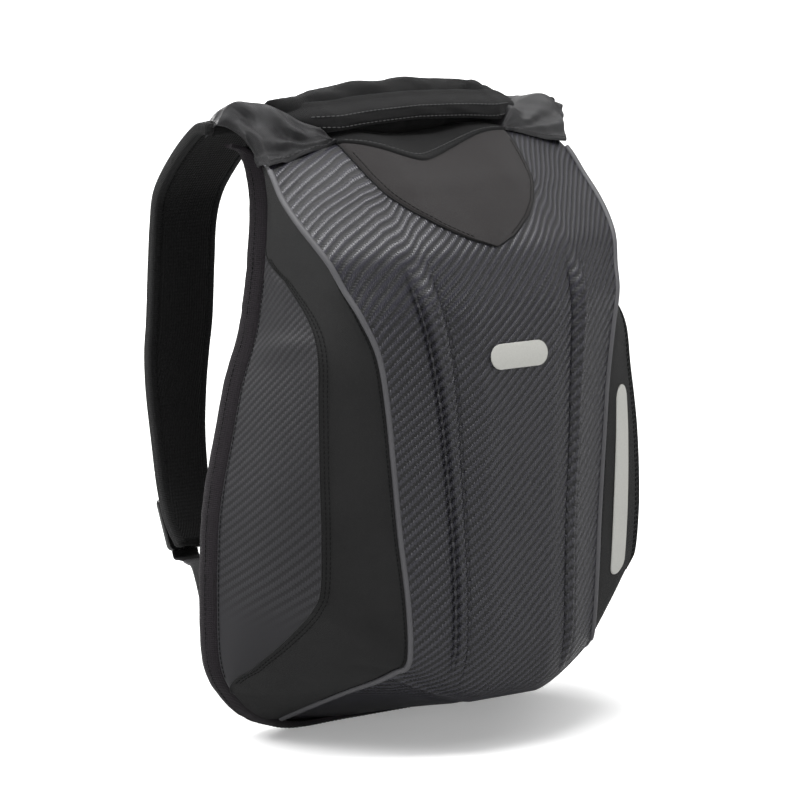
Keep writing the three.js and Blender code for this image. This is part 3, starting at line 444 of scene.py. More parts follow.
def ring_piece(name, rings, look, slot):
    """Closes a row of equal rings of points into one solid with ends drawn to a point."""
    rows, size = rings.shape[:2]
    ids = np.arange(rows * size).reshape(rows, size)
    across = np.roll(ids, -1, axis=1)
    quads = np.stack([ids[:-1], across[:-1], across[1:], ids[1:]], -1).reshape(-1, 4).tolist()
    start = rows * size
    quads += [[start, int(across[0, c]), int(ids[0, c])] for c in range(size)]
    quads += [[start + 1, int(ids[-1, c]), int(across[-1, c])] for c in range(size)]
    ends = np.stack([rings[0].mean(axis=0), rings[-1].mean(axis=0)])
    run = run_along(rings.mean(axis=1))
    around = run_along(rings, axis=1)
    uv = np.stack([around, np.broadcast_to(run[:, None], around.shape)], -1).reshape(-1, 2)
    uv = np.concatenate([uv, [[0, 0], [0, run[-1]]]])
    return new_piece(name, np.concatenate([rings.reshape(-1, 3), ends]), quads, finish(look), slot, uv)


def evaluated_mesh(piece, name):
    """The piece's mesh with its one modifier applied."""
    seen = piece.evaluated_get(bpy.context.evaluated_depsgraph_get())
    mesh = bpy.data.meshes.new_from_object(seen)
    mesh.name = name
    return mesh


def keep_modifier(piece, mark):
    """Makes the modifier's result the piece's own mesh."""
    mesh = evaluated_mesh(piece, piece.name + mark)
    swap_mesh(piece, mesh)
    return mesh


def swap_mesh(piece, mesh):
    piece.modifiers.clear()
    before = piece.data
    piece.data = mesh
    bpy.data.meshes.remove(before)


def plumped(piece, held, voxel=0.0045, cap=0.003, growth=0.05):
    """Swells a padded piece as cloth under pressure. No point moves further than the cap."""
    frames = 20
    remesh = piece.modifiers.new("remesh", "REMESH")
    remesh.mode = "VOXEL"
    remesh.voxel_size = voxel
    rest = mesh_points(keep_modifier(piece, "_even"))
    group = piece.vertex_groups.new(name="held")
    group.add([int(i) for i in np.flatnonzero(held(rest))], 1.0, "REPLACE")
    cloth = piece.modifiers.new("cloth", "CLOTH")
    cloth.settings.quality = 6
    cloth.settings.mass = 0.3
    cloth.settings.use_pressure = True
    cloth.settings.uniform_pressure_force = 4.0
    cloth.settings.shrink_min = -growth
    cloth.settings.vertex_group_mass = "held"
    cloth.settings.effector_weights.gravity = 0
    cloth.point_cache.frame_start = 1
    cloth.point_cache.frame_end = frames
    for number in range(1, frames + 1):
        bpy.context.scene.frame_set(number)
    mesh = evaluated_mesh(piece, piece.name + "_swollen")
    move = mesh_points(mesh) - rest
    length = np.linalg.norm(move, axis=1, keepdims=True)
    kept = rest + move * np.minimum(1, cap / np.maximum(length, 1e-9))
    mesh.vertices.foreach_set("co", kept.ravel())
    swap_mesh(piece, mesh)
    piece.vertex_groups.clear()
    bpy.context.scene.frame_set(1)
    finer = piece.modifiers.new("finer", "SUBSURF")
    finer.levels = 1
    finer.render_levels = 1
    mesh = keep_modifier(piece, "_plump")
    points = mesh_points(mesh)
    lay_flat(mesh, np.stack([points[:, 0], points[:, 2] + points[:, 1]], -1))
    mesh.polygons.foreach_set("use_smooth", np.ones(len(mesh.polygons), dtype=bool))
    mesh.update()


def tube_rings(path, radius, sides):
    """Round rings along a path."""
    run = unit(np.gradient(path, axis=0))
    across = unit(np.cross(run, (0, 0, 1)))
    lift = unit(np.cross(across, run))
    turn = np.linspace(0, FULL_TURN, sides, endpoint=False)
    return (path[:, None] + across[:, None] * np.cos(turn)[None, :, None] * radius
            + lift[:, None] * np.sin(turn)[None, :, None] * radius)


def rounded_ends(rings, length):
    """Draws the first and last rings in towards their middles, like a sewn end."""
    least = 0.002
    middle = rings.mean(axis=1, keepdims=True)
    run = run_along(middle[:, 0])
    near = np.minimum(run, run[-1] - run) / length
    size = np.sqrt(np.clip(1 - (1 - np.clip(near, 0, 1)) ** 2, least, 1))
    return middle + (rings - middle) * size[:, None, None]


def uneven_rings(rings, wave):
    """Moves every ring's points away from its middle by the wave."""
    return rings + unit(rings - rings.mean(axis=1, keepdims=True)) * wave[..., None]


def squared_off(count, across_power, thick_power):
    """The two coordinates of a turn round a band, drawn out towards a rectangle."""
    turn = np.linspace(0, FULL_TURN, count, endpoint=False)
    pair = ((np.cos(turn), across_power), (np.sin(turn), thick_power))
    return [np.sign(wave) * np.abs(wave) ** power for wave, power in pair]


def arc_uv(points):
    """Lengths across and down a grid, measured from its first row and column."""
    return np.stack([run_along(points, axis=1), run_along(points)], -1)


def level_uv(points, centre_column, anchor_row):
    """Lengths across from one column, and down along lines of equal length across."""
    run = run_along(points, axis=1)
    u = run - run[:, centre_column][:, None]
    lines = np.linspace(u.min(), u.max(), 61)
    placed = np.stack([
        np.stack([np.interp(lines, u[r], points[r, :, k]) for k in range(3)], -1)
        for r in range(len(points))
    ])
    v = run_along(placed)
    v = v - v[anchor_row]
    fitted = np.stack([np.interp(u[r], lines, v[r]) for r in range(len(points))])
    return np.stack([u, fitted], -1)


def eased(values, reach):
    """Values smoothed down their rows, so that a weave runs evenly past the sections."""
    weights = np.hanning(2 * reach + 3)[1:-1]
    padded = np.pad(values, ((reach, reach), (0, 0), (0, 0)), mode="reflect", reflect_type="odd")
    total = np.zeros_like(values)
    for k, weight in enumerate(weights / weights.sum()):
        total += weight * padded[k:k + len(values)]
    return total


# What a user may change
def length_property(name, description, default, low, high):
    return bpy.props.FloatProperty(name=name, description=description, default=default, min=low, max=high,
                                   subtype="DISTANCE", unit="LENGTH")


class BackpackSizes(bpy.types.PropertyGroup):
    """Sizes of the finish, in metres."""

    tow_width: length_property("Tow width", "Width of one tow of the twill", 0.0021, 0.0005, 0.005)
    twill_depth: length_property("Twill depth", "Depth of the moulded twill", 0.0006, 0.0, 0.003)
    thread_width: length_property("Cloth thread", "Width of one thread of the cloth", 0.00055, 0.0002, 0.003)
    rib_height: length_property("Rib height", "Height of the shell's two long ribs", 0.0060, 0.0, 0.010)
    rib_width: length_property("Rib width", "Width of the shell's two long ribs", 0.013, 0.004, 0.03)
    groove_depth: length_property("Groove depth", "Depth of the lines beside a rib", 0.0016, 0.0, 0.004)
    stitch_length: length_property("Stitch length", "Length of one stitch", 0.0029, 0.001, 0.01)
    stitch_gap: length_property("Stitch gap", "Gap between two stitches", 0.0010, 0.0002, 0.01)
    sewing_thread: length_property("Sewing thread", "Thickness of the thread", 0.0009, 0.0002, 0.002)


def colour_property(name, description, default):
    return bpy.props.FloatVectorProperty(
        name=name, description=description, default=default, min=0.0, max=1.0, size=3, subtype="COLOR")


class BackpackColours(bpy.types.PropertyGroup):
    """Colours of the finish."""

    shell: colour_property("Shell", "Carbon look shell", (0.0150, 0.0146, 0.0195))
    cloth: colour_property("Side cloth", "Plain woven cloth of the side panels", (0.0205, 0.0205, 0.0207))
    embossed: colour_property("Embossed cloth", "Embossed cloth of the gussets", (0.0108, 0.0104, 0.0128))
    patch: colour_property("Patch", "Brushed cloth below the cover", (0.0186, 0.0162, 0.0164))
    satin: colour_property("Satin cloth", "Charcoal satin of the shoulder cloth", (0.0185, 0.0183, 0.0198))
    cover: colour_property("Cover cloth", "Dark cloth of the cover and the handle", (0.0078, 0.0078, 0.0081))
    binding: colour_property("Binding", "Ribbed binding tape", (0.0110, 0.0086, 0.0110))
    piping: colour_property("Piping", "Grey piping", (0.085, 0.084, 0.090))
    mesh: colour_property("Mesh", "Padded mesh of the back and straps", (0.0060, 0.0060, 0.0062))
    webbing: colour_property("Webbing", "Flat webbing", (0.0075, 0.0075, 0.0078))
    dark_thread: colour_property("Dark thread", "Thread of the sides and the edge", (0.0020, 0.0020, 0.0021))
    # The grey thread is a lighter copy of the dark thread: a painted highlight for stitches that catch the
    # light.
    grey_thread: colour_property("Grey thread", "Thread of the handle and the cover", (0.055, 0.055, 0.056))
    plastic: colour_property("Buckle", "Moulded buckles", (0.0075, 0.0075, 0.008))
    reflector: colour_property("Reflector", "Reflective pieces", (0.50, 0.50, 0.47))
    floor: colour_property("Floor", "Floor under the backpack", (0.90, 0.90, 0.90))


# Shader node groups
class Graph:
    """Places nodes in a tree and links them."""

    def __init__(self, tree):
        self.tree = tree

    def node(self, kind, *inputs, **settings):
        """A node with its first inputs fed in order. None leaves an input as it is."""
        node = self.tree.nodes.new(kind)
        for key, value in settings.items():
            setattr(node, key, value)
        for i, value in enumerate(inputs):
            self.feed(node.inputs[i], value)
        return node

    def fed(self, node, **values):
        """Feeds a node's inputs by their labels, and gives its first output."""
        for label, value in values.items():
            self.feed(node.inputs[label.replace("_", " ")], value)
        return node.outputs[0]

    def feed(self, socket, value):
        if value is None:
            return
        if isinstance(value, bpy.types.NodeSocket):
            self.tree.links.new(value, socket)
        else:
            socket.default_value = value

    def math(self, operation, *inputs):
        return self.node("ShaderNodeMath", *inputs, operation=operation).outputs[0]

    def plus(self, one, other):
        return self.math("ADD", one, other)

    def times(self, one, other):
        return self.math("MULTIPLY", one, other)

    def wave(self, value, factor):
        return self.math("SINE", self.times(value, factor))

    def round_one(self, value, amount):
        """One plus an amount of the value."""
        return self.plus(1.0, self.times(value, amount))

    def mixed(self, share, low, high):
        """Low where the share is 0 and high where it is 1."""
        return self.node("ShaderNodeMix", share, None, low, high, data_type="FLOAT").outputs[0]

    def spread(self, value, low, high, out_low=0.0, out_high=1.0):
        return self.node("ShaderNodeMapRange", value, low, high, out_low, out_high,
                         interpolation_type="SMOOTHSTEP").outputs[0]

    def noise(self, vector, scale, detail, roughness):
        return self.fed(self.node("ShaderNodeTexNoise"), Vector=vector, Scale=scale, Detail=detail,
                        Roughness=roughness)

    def split(self, vector):
        node = self.node("ShaderNodeSeparateXYZ", vector)
        return node.outputs[0], node.outputs[1], node.outputs[2]

    def bump(self, height, distance, strength, normal=None):
        return self.fed(self.node("ShaderNodeBump"), Distance=distance, Strength=strength, Height=height,
                        Normal=normal)

    def tinted(self, colour, amount):
        """A colour made lighter or darker by an amount round 1."""
        node = self.node("ShaderNodeVectorMath", colour, operation="SCALE")
        return self.fed(node, Scale=amount)

    def placed(self, tree, **values):
        """A group's outputs, with its inputs fed by their labels."""
        node = self.node("ShaderNodeGroup", node_tree=tree)
        self.fed(node, **values)
        return node.outputs

    def turned(self, vector, angle):
        return self.fed(self.node("ShaderNodeMapping"), Vector=vector, Rotation=(0, 0, angle))

    def flat_map(self):
        return self.node("ShaderNodeUVMap", uv_map="flat").outputs[0]

    def body_map(self):
        return self.node("ShaderNodeTexCoord").outputs["Object"]


def node_group(name, inputs, outputs):
    """An empty shader group with its sockets, its graph, its input values and its output node."""
    tree = bpy.data.node_groups.new(name, "ShaderNodeTree")
    for label, kind, default in inputs:
        socket = tree.interface.new_socket(name=label, in_out="INPUT", socket_type=kind)
        if default is not None:
            socket.default_value = default
    for label in outputs:
        tree.interface.new_socket(name=label, in_out="OUTPUT", socket_type="NodeSocketFloat")
    graph = Graph(tree)
    entry = graph.node("NodeGroupInput")
    leave = graph.node("NodeGroupOutput")
    return tree, graph, entry.outputs, leave.inputs


def weave_group(name, thread, repeat, over_below, height_of):
    """A weave whose height comes from which thread lies over at each crossing."""
    tree, g, given, made = node_group(
        name,
        [("Vector", "NodeSocketVector", None), ("Thread", "NodeSocketFloat", thread)],
        ["Height", "Over"],
    )
    u, v, _ = g.split(given["Vector"])
    u = g.math("DIVIDE", u, given["Thread"])
    v = g.math("DIVIDE", v, given["Thread"])
    turn = g.plus(g.math("FLOOR", u), g.math("FLOOR", v))
    over = g.math("LESS_THAN", g.math("FLOORED_MODULO", turn, repeat), over_below)
    across_u = g.wave(g.math("FRACT", u), math.pi)
    across_v = g.wave(g.math("FRACT", v), math.pi)
    g.feed(made["Height"], height_of(g, u, v, over, across_u, across_v))
    g.feed(made["Over"], over)
    return tree


def twill_height(g, u, v, over, across_u, across_v):
    """Raised diagonal lines that rise to the right, with the tows and their fibres on them."""
    flatter = 0.8
    tow_share = 0.30
    line_share = 0.70
    fibres = FULL_TURN * 5
    rise = g.mixed(over, g.math("POWER", across_v, flatter), g.math("POWER", across_u, flatter))
    swell = g.wave(g.math("SUBTRACT", g.plus(u, v), 0.5), math.pi / 2)
    line = g.plus(g.times(swell, 0.5), 0.5)
    height = g.plus(g.times(rise, tow_share), g.times(line, line_share))
    fibre = g.mixed(over, g.wave(v, fibres), g.wave(u, fibres))
    return g.plus(height, g.times(fibre, 0.03))


def plain_height(g, u, v, over, across_u, across_v):
    """Threads that cross one over one."""
    return g.mixed(over, across_v, across_u)


def wear_group():
    """Slow mottling, fine grain and dust for every finish, all round 1."""
    tree, g, given, made = node_group(
        "Wear and dust",
        [("Vector", "NodeSocketVector", None), ("Mottle", "NodeSocketFloat", 0.1),
         ("Grain", "NodeSocketFloat", 0.1), ("Grain size", "NodeSocketFloat", 0.0008)],
        ["Tint", "Grain", "Dust"],
    )
    where = given["Vector"]
    slow = g.noise(where, 22.0, 3.0, 0.55)
    fine = g.noise(where, g.math("DIVIDE", 1.0, given["Grain size"]), 2.0, 0.6)
    tint = g.round_one(g.math("SUBTRACT", slow, 0.5), g.times(given["Mottle"], 2.0))
    speck = g.round_one(g.math("SUBTRACT", fine, 0.5), g.times(given["Grain"], 2.0))
    g.feed(made["Tint"], g.times(tint, speck))
    g.feed(made["Grain"], fine)
    g.feed(made["Dust"], g.spread(g.noise(where, 60.0, 4.0, 0.6), 0.62, 0.8))
    return tree


def new_material(name, roughness, sheen=0.0, specular=0.5):
    """A material whose constant values stand on its surface's own sockets."""
    material = bpy.data.materials.new(name)
    material.use_nodes = True
    tree = material.node_tree
    tree.nodes.clear()
    graph = Graph(tree)
    surface = graph.node("ShaderNodeBsdfPrincipled")
    shade = graph.fed(surface, Roughness=roughness, Sheen_Weight=sheen, Sheen_Roughness=0.45,
                      Specular_IOR_Level=specular)
    graph.node("ShaderNodeOutputMaterial", shade)
    material.diffuse_color = (0.05, 0.05, 0.05, 1)
    return material, graph, surface


# Each finish: its kind, its colour and its values. A weave's own sizes are shares of the user's sizes
LOOKS = {
    "carbon_shell": ("twill", "shell", {
        "tow": 1.0, "depth": 1.0, "roughness": 0.35, "fade": (-0.210, -0.196), "turn": -4,
        "contrast": 1.5}),
    "embossed_cloth": ("twill", "embossed", {
        "tow": 1.08, "depth": 0.7, "roughness": 0.60, "fade": (-0.155, -0.105), "turn": -14,
        "contrast": 0.8, "sheen": 0.05, "specular": 0.35}),
    "side_cloth": ("cloth", "cloth", {
        "thread": 1.0, "roughness": 0.90, "sheen": 0.05, "mottle": 0.22, "specular": 0.2}),
    "patch_cloth": ("cloth", "patch", {
        "thread": 0.9, "roughness": 0.85, "sheen": 0.10, "mottle": 0.08, "depth": 0.00012, "specular": 0.25}),
    "satin_cloth": ("cloth", "satin", {
        "thread": 0.8, "roughness": 0.40, "sheen": 0.03, "depth": 0.00012, "specular": 0.42}),
    "cover_cloth": ("cloth", "cover", {
        "thread": 0.8, "roughness": 0.82, "sheen": 0.04, "depth": 0.0002, "specular": 0.2}),
    "binding_tape": ("ribbed", "binding", {"pitch": 0.0016, "roughness": 0.80, "sheen": 0.06, "grain": 1.1}),
    "padded_mesh": ("ribbed", "mesh", {
        "pitch": 0.0024, "roughness": 0.92, "sheen": 0.03, "depth": 0.0006, "cross": 0.5,
        "lengthwise": True}),
    "webbing": ("ribbed", "webbing", {"pitch": 0.0015, "roughness": 0.75, "sheen": 0.05}),
    "grey_piping": ("moulded", "piping", {"roughness": 0.50, "specular": 0.35}),
    "buckle_plastic": ("moulded", "plastic", {"roughness": 0.26, "specular": 0.6}),
    "reflective_print": ("moulded", "reflector", {"roughness": 0.55, "mottle": 0.03, "specular": 0.3}),
    "dark_thread": ("moulded", "dark_thread", {"roughness": 0.7, "grain_size": 0.0004, "specular": 0.2}),
    # Lighter thread colour: a painted highlight for stitches that catch the light.
    "grey_thread": ("moulded", "grey_thread", {"roughness": 0.5, "grain_size": 0.0004}),
}


class Finishes:
    """Every material, made once from the user's sizes and colours."""

    def __init__(self):
        self.sizes = bpy.context.scene.backpack_sizes
        self.colours = bpy.context.scene.backpack_colours
        self.twill = weave_group("Twill weave", 0.0012, 4.0, 1.5, twill_height)
        self.plain = weave_group("Plain weave", 0.0006, 2.0, 0.5, plain_height)
        self.wear = wear_group()
        self.made = {}

    def __getitem__(self, name):
        if name not in self.made:
            kind, colour, values = LOOKS[name]
            make = getattr(self, kind + "_material")
            self.made[name] = make(name, getattr(self.colours, colour), **values)
        return self.made[name]

    def twill_material(self, name, colour, tow, depth, roughness, fade, turn, contrast, sheen=0.0,
                       specular=0.5):
        """Moulded or embossed twill. Fade is two heights between which it dies away downwards."""
        material, g, surface = new_material(name, roughness, sheen, specular)
        where = g.body_map()
        flat = g.turned(g.flat_map(), math.radians(turn))
        weave = g.placed(self.twill, Vector=flat, Thread=self.sizes.tow_width * tow)
        wear = g.placed(self.wear, Vector=where, Mottle=0.10, Grain=0.16, Grain_size=0.0009)
        _, _, up = g.split(where)
        present = g.spread(up, *fade)
        height = g.times(weave["Height"], present)
        over = g.times(g.math("SUBTRACT", weave["Over"], 0.5), present)
        rough = g.plus(g.plus(roughness, g.times(over, -0.22)), g.times(wear["Dust"], 0.08))
        grain = g.bump(wear["Grain"], 0.00012, 0.5)
        # The tows that lie over are tinted lighter and those beneath darker: a painted sheen for the light
        # the fibres reflect along their run, faded out together with the twill.
        g.fed(surface, Base_Color=g.tinted(colour, g.times(wear["Tint"], g.round_one(over, contrast))),
              Roughness=rough, Normal=g.bump(height, self.sizes.twill_depth * depth, 1.0, grain))
        return material

    def cloth_material(self, name, colour, thread, roughness, sheen, mottle=0.12, depth=0.00025,
                       specular=0.3):
        """Woven cloth with a plain weave and a soft sheen."""
        material, g, surface = new_material(name, roughness, sheen, specular)
        weave = g.placed(self.plain, Vector=g.flat_map(), Thread=self.sizes.thread_width * thread)
        wear = g.placed(self.wear, Vector=g.body_map(), Mottle=mottle, Grain=0.25, Grain_size=0.0011)
        over = g.math("SUBTRACT", weave["Over"], 0.5)
        grain = g.bump(wear["Grain"], 0.0002, 0.5)
        g.fed(surface, Base_Color=g.tinted(colour, g.times(wear["Tint"], g.round_one(over, 0.25))),
              Roughness=g.plus(roughness, g.times(over, 0.08)),
              Normal=g.bump(weave["Height"], depth, 0.9, grain))
        return material

    def ribbed_material(self, name, colour, pitch, roughness, sheen, depth=0.0004, cross=0.35,
                        lengthwise=False, grain=0.3):
        """Cloth whose ribs run across its length, as on tape, webbing and mesh."""
        material, g, surface = new_material(name, roughness, sheen, 0.2)
        u, v, _ = g.split(g.flat_map())
        if lengthwise:
            u, v = v, u
        rib = g.wave(v, FULL_TURN / pitch)
        knit = g.wave(u, FULL_TURN / (pitch * 1.3))
        height = g.plus(g.times(rib, 0.5), g.times(knit, cross * 0.5))
        wear = g.placed(self.wear, Vector=g.body_map(), Mottle=0.16, Grain=grain, Grain_size=0.001)
        fine = g.bump(wear["Grain"], 0.0002, 0.5)
        # The colour is lighter on the ribs' crests and darker in the hollows between them: painted highlight
        # and painted shade that follow the ribs' height.
        g.fed(surface, Base_Color=g.tinted(colour, g.times(wear["Tint"], g.round_one(height, 0.3))),
              Roughness=g.plus(roughness, g.times(wear["Dust"], 0.08)),
              Normal=g.bump(height, depth, 0.8, fine))
        return material

    def moulded_material(self, name, colour, roughness, grain_size=0.0012, specular=0.5, mottle=0.08):
        """A smooth finish with a fine grain, for plastic, piping, print and thread."""
        material, g, surface = new_material(name, roughness, specular=specular)
        wear = g.placed(self.wear, Vector=g.body_map(), Mottle=mottle, Grain=0.12, Grain_size=grain_size)
        g.fed(surface, Base_Color=g.tinted(colour, wear["Tint"]),
              Roughness=g.plus(roughness, g.times(wear["Dust"], 0.12)),
              Normal=g.bump(wear["Grain"], 0.00012, 0.4))
        return material


FINISHES = {}


def finish(name):
    """One material of the backpack, made the first time that it is asked for."""
    if "all" not in FINISHES:
        FINISHES["all"] = Finishes()
    return FINISHES["all"][name]


# Shapes of the pieces
def rib_span(at, rib_width):
    """Width of a rib, which narrows downwards."""
    return rib_width * (1.3 - 0.65 * smooth(6.0, 11.5, at))


def shell_shares(at, rib_width):
    """Shares across the shell for each section, dense at the groove and the rib."""
    counts = [14, 10, 18, 14, 18]
    beside_groove = 0.0028
    past_rib = 0.008
    width = BODY_HALF_WIDTH * along(SECTIONS, "pipe_out", at)
    groove = BODY_HALF_WIDTH * along(SECTIONS, "groove", at) / width
    half = beside_groove / width
    rib = rib_span(at, rib_width) / width
    knots = [0 * width, groove - half, groove + half, groove + rib, groove + rib + past_rib / width,
             1 - (PIPING_RADIUS * 0.5) / width]
    spans = []
    for start, stop, count in zip(knots[:-1], knots[1:], counts):
        t = np.arange(count) / count
        spans.append(start[:, None] + (stop - start)[:, None] * t)
    spans.append(knots[-1][:, None])
    return np.concatenate(spans, axis=1)


def shell_relief(at, share, sizes):
    """Height of the ribs, the sunk lines beside them, the hollow between and the crease near the bottom."""
    valley_depth = 0.002
    ribs = np.maximum(0, along(SECTIONS, "rib", at))
    strength = np.maximum(ribs, smooth(5.1, 6.9, at) * smooth(10.0, 9.0, at))
    out = BODY_HALF_WIDTH * along(SECTIONS, "pipe_out", at) * share
    off = out - BODY_HALF_WIDTH * along(SECTIONS, "groove", at)
    span = rib_span(at, sizes.rib_width)
    dip = bell(off - 0.0005, 0.0020) + 1.3 * bell(off - span - 0.0025, 0.0024)
    over_rib = np.power(np.clip((off - 0.0012) / span, 0, 1), 1.05)
    bump = np.sin(np.pi * over_rib) ** 0.7 * span / sizes.rib_width
    valley = valley_depth * np.maximum(0, along(SECTIONS, "valley", at)) * np.sin(np.pi * share**2) ** 2
    crease = 0.0016 * bell(at - 15.45, 0.13) - 0.0010 * bell(at - 15.85, 0.2)
    return strength * (sizes.rib_height * bump - sizes.groove_depth * dip) - valley + crease


def laid(at, out, lift):
    """Points on the shell's skin at a signed distance out, lifted off it."""
    at, out = np.broadcast_arrays(np.asarray(at, float), np.asarray(out, float))
    share = np.abs(out) / pipe_at(at)[..., 0]
    point = shell_skin(at, share) + shell_outward(at, share) * lift
    point[..., 0] *= np.where(out < 0, -1, 1)
    return point


def patch_half(at):
    row = np.interp(at, PATCH_SHAPE["section"], np.arange(len(PATCH_SHAPE["section"])))
    return COVER_HALF_WIDTH * along(PATCH_SHAPE, "half", row)


def cover_end(out):
    """Where the cover's lower edge is: at its corners, down to a tip that leans to the left."""
    leaning = 0.25
    roundness = 0.010
    lean = np.clip(out / COVER_HALF_WIDTH, -1, 1)
    share = np.sqrt((lean + leaning * (1 - lean**2)) ** 2 + roundness) - 0.1
    return COVER_CORNER_AT + (COVER_DROOP_AT - COVER_CORNER_AT) * (1 - share)


def side_grid(from_at, to_at, from_lane, low_pull, high_pull, rows, columns):
    """A grid over one lane of the right side, with pulls from its two long edges in metres."""
    at = np.linspace(from_at, to_at, rows)[:, None]
    start = side_skin(at, np.full_like(at, from_lane))[:, 0]
    stop = side_skin(at, np.full_like(at, from_lane + 1))[:, 0]
    length = np.maximum(np.linalg.norm(stop - start, axis=-1), 1e-4)
    low = np.minimum(0.4, low_pull / length)[:, None]
    high = np.maximum(0.6, 1 - high_pull / length)[:, None]
    share = low + (high - low) * np.linspace(0, 1, columns)
    rows_at = np.broadcast_to(at, share.shape)
    return side_skin(rows_at, from_lane + share), rows_at


def outward_from_middle(points):
    """Grid normals turned away from the middle of the body."""
    normal = grid_normals(points)
    same = np.einsum("rck,rck->rc", normal, points - BODY_MIDDLE)
    return normal * (1 if np.median(same) > 0 else -1)


def between(p0, p1, p2, p3, t):
    """Points on a smooth curve from p1 to p2, at shares of the way."""
    return 0.5 * (2 * p1 + (p2 - p0) * t + (2 * p0 - 5 * p1 + 4 * p2 - p3) * t**2
                  + (3 * p1 - p0 - 3 * p2 + p3) * t**3)


def closed_loops(profile, steps):
    """Smooth closed loops through corners given as two coordinates, each with a value for every ring."""
    corners = np.stack([np.stack(pair, -1) for pair in profile], 0).reshape(len(profile), -1)
    count = len(corners)
    at = np.arange(count * steps) / steps
    i = np.floor(at).astype(int)
    near = (corners[(i + k) % count] for k in (-1, 0, 1, 2))
    return between(*near, (at - i)[:, None]).reshape(count * steps, -1, 2)


def open_curve(points, steps):
    """A smooth path through a few points."""
    points = np.asarray(points, float)
    padded = np.concatenate([[2 * points[0] - points[1]], points, [2 * points[-1] - points[-2]]])
    count = len(points) - 1
    at = np.linspace(0, count, count * steps + 1)
    i = np.minimum(np.floor(at).astype(int), count - 1)
    return between(*(padded[i + k] for k in range(4)), (at - i)[:, None])


def line_over(outer, normal, distance, rows, from_end=False):
    """A line over a grid at a distance from one of its long edges."""
    grid = outer[rows, ::-1] if from_end else outer[rows]
    away = normal[rows, ::-1] if from_end else normal[rows]
    lifted = grid + away * 0.0003
    run = run_along(grid, axis=1)
    return np.array([[np.interp(distance, run[row], lifted[row, :, k]) for k in range(3)]
                     for row in range(len(grid))])


# Places of the sewing lines, filled while the pieces are made
SEWING = {}
# Seams sewn with the lighter copy of the thread, whose colour is a painted highlight for stitches that catch
# the light.
PAINTED_HIGHLIGHT_SEAMS = ("handle_stitches", "cover_stitches", "cap_stitches")


def sew(name, path):
    SEWING.setdefault(name, []).append(np.asarray(path, float))


class PieceOperator(bpy.types.Operator):
    """Makes pieces of the backpack."""

    bl_options = {"REGISTER", "UNDO"}

    def execute(self, context):
        self.make(context.scene.backpack_sizes)
        return {"FINISHED"}


class BACKPACK_OT_shell(PieceOperator):
    """Make the moulded shell with its two long ribs"""

    bl_idname = "backpack.shell"
    bl_label = "Shell"
    below_relief = 0.0015
    anchor_row = 120
    weave_reach = 18

    def make(self, sizes):
        at = np.linspace(0, LAST_SECTION, 240)
        share = shell_shares(at, sizes.rib_width)
        rows = np.broadcast_to(at[:, None], share.shape)
        skin = shell_skin(rows, share)
        outward = shell_outward(rows, share)
        outer = skin + outward * shell_relief(rows, share, sizes)[..., None]
        inner = seat_front(skin - outward * (SHELL_WALL + self.below_relief))
        full_out = np.concatenate([mirrored(outer[:, :0:-1], -1), outer], axis=1)
        full_in = np.concatenate([mirrored(inner[:, :0:-1], -1), inner], axis=1)
        uv = eased(level_uv(full_out, share.shape[1] - 1, self.anchor_row), self.weave_reach)
        uv[..., 1] = uv[..., 1] + smooth(10.0, 3.0, at)[:, None] * uv[..., 0] ** 2
        piece = sheet_piece("carbon_shell", full_out, full_in, "carbon_shell", "carbon_shell", uv)
        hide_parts("shell")


class BACKPACK_OT_front_patch(PieceOperator):
    """Make the brushed patch below the cover, with its sunk edge"""

    bl_idname = "backpack.front_patch"
    bl_label = "Front Patch"
    wall = 0.0012
    under_cover = 0.05
    cord_radius = 0.0007
    sewn_in = 0.0042

    def make(self, sizes):
        tip = PATCH_SHAPE["section"][-1]
        share = np.linspace(-1, 1, 61)
        down = np.linspace(0, 1, 70)[:, None]
        start = cover_end(share * COVER_HALF_WIDTH) - self.under_cover
        at = start + (tip - start) * down
        out = share * patch_half(at)
        outer = laid(at, out, LAY_GAP + self.wall)
        inner = laid(at, out, 0.0)
        rim = np.clip((1 - np.abs(share)) / 0.03, 0, 1)
        outer = outer - (outer - inner) * (0.55 * (1 - rim))[None, :, None]
        piece = sheet_piece("front_patch_cloth", outer, inner, "patch_cloth", "patch_cloth", arc_uv(outer))
        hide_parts("front_patch")
        row = np.linspace(cover_end(COVER_HALF_WIDTH) - 0.02, tip, 160)
        left, right = (laid(row, side * patch_half(row), self.cord_radius) for side, _ in SIDES)
        edge = np.concatenate([left, right[::-1][1:]])
        ring_piece("front_patch_edge", tube_rings(edge, self.cord_radius, 8), "webbing", "webbing")
        row = np.linspace(1.3, tip - 0.42, 90)
        for side, _ in SIDES:
            half = patch_half(row) - self.sewn_in
            sew("patch_stitches", laid(row, side * half, LAY_GAP + self.wall + STITCH_LIFT))


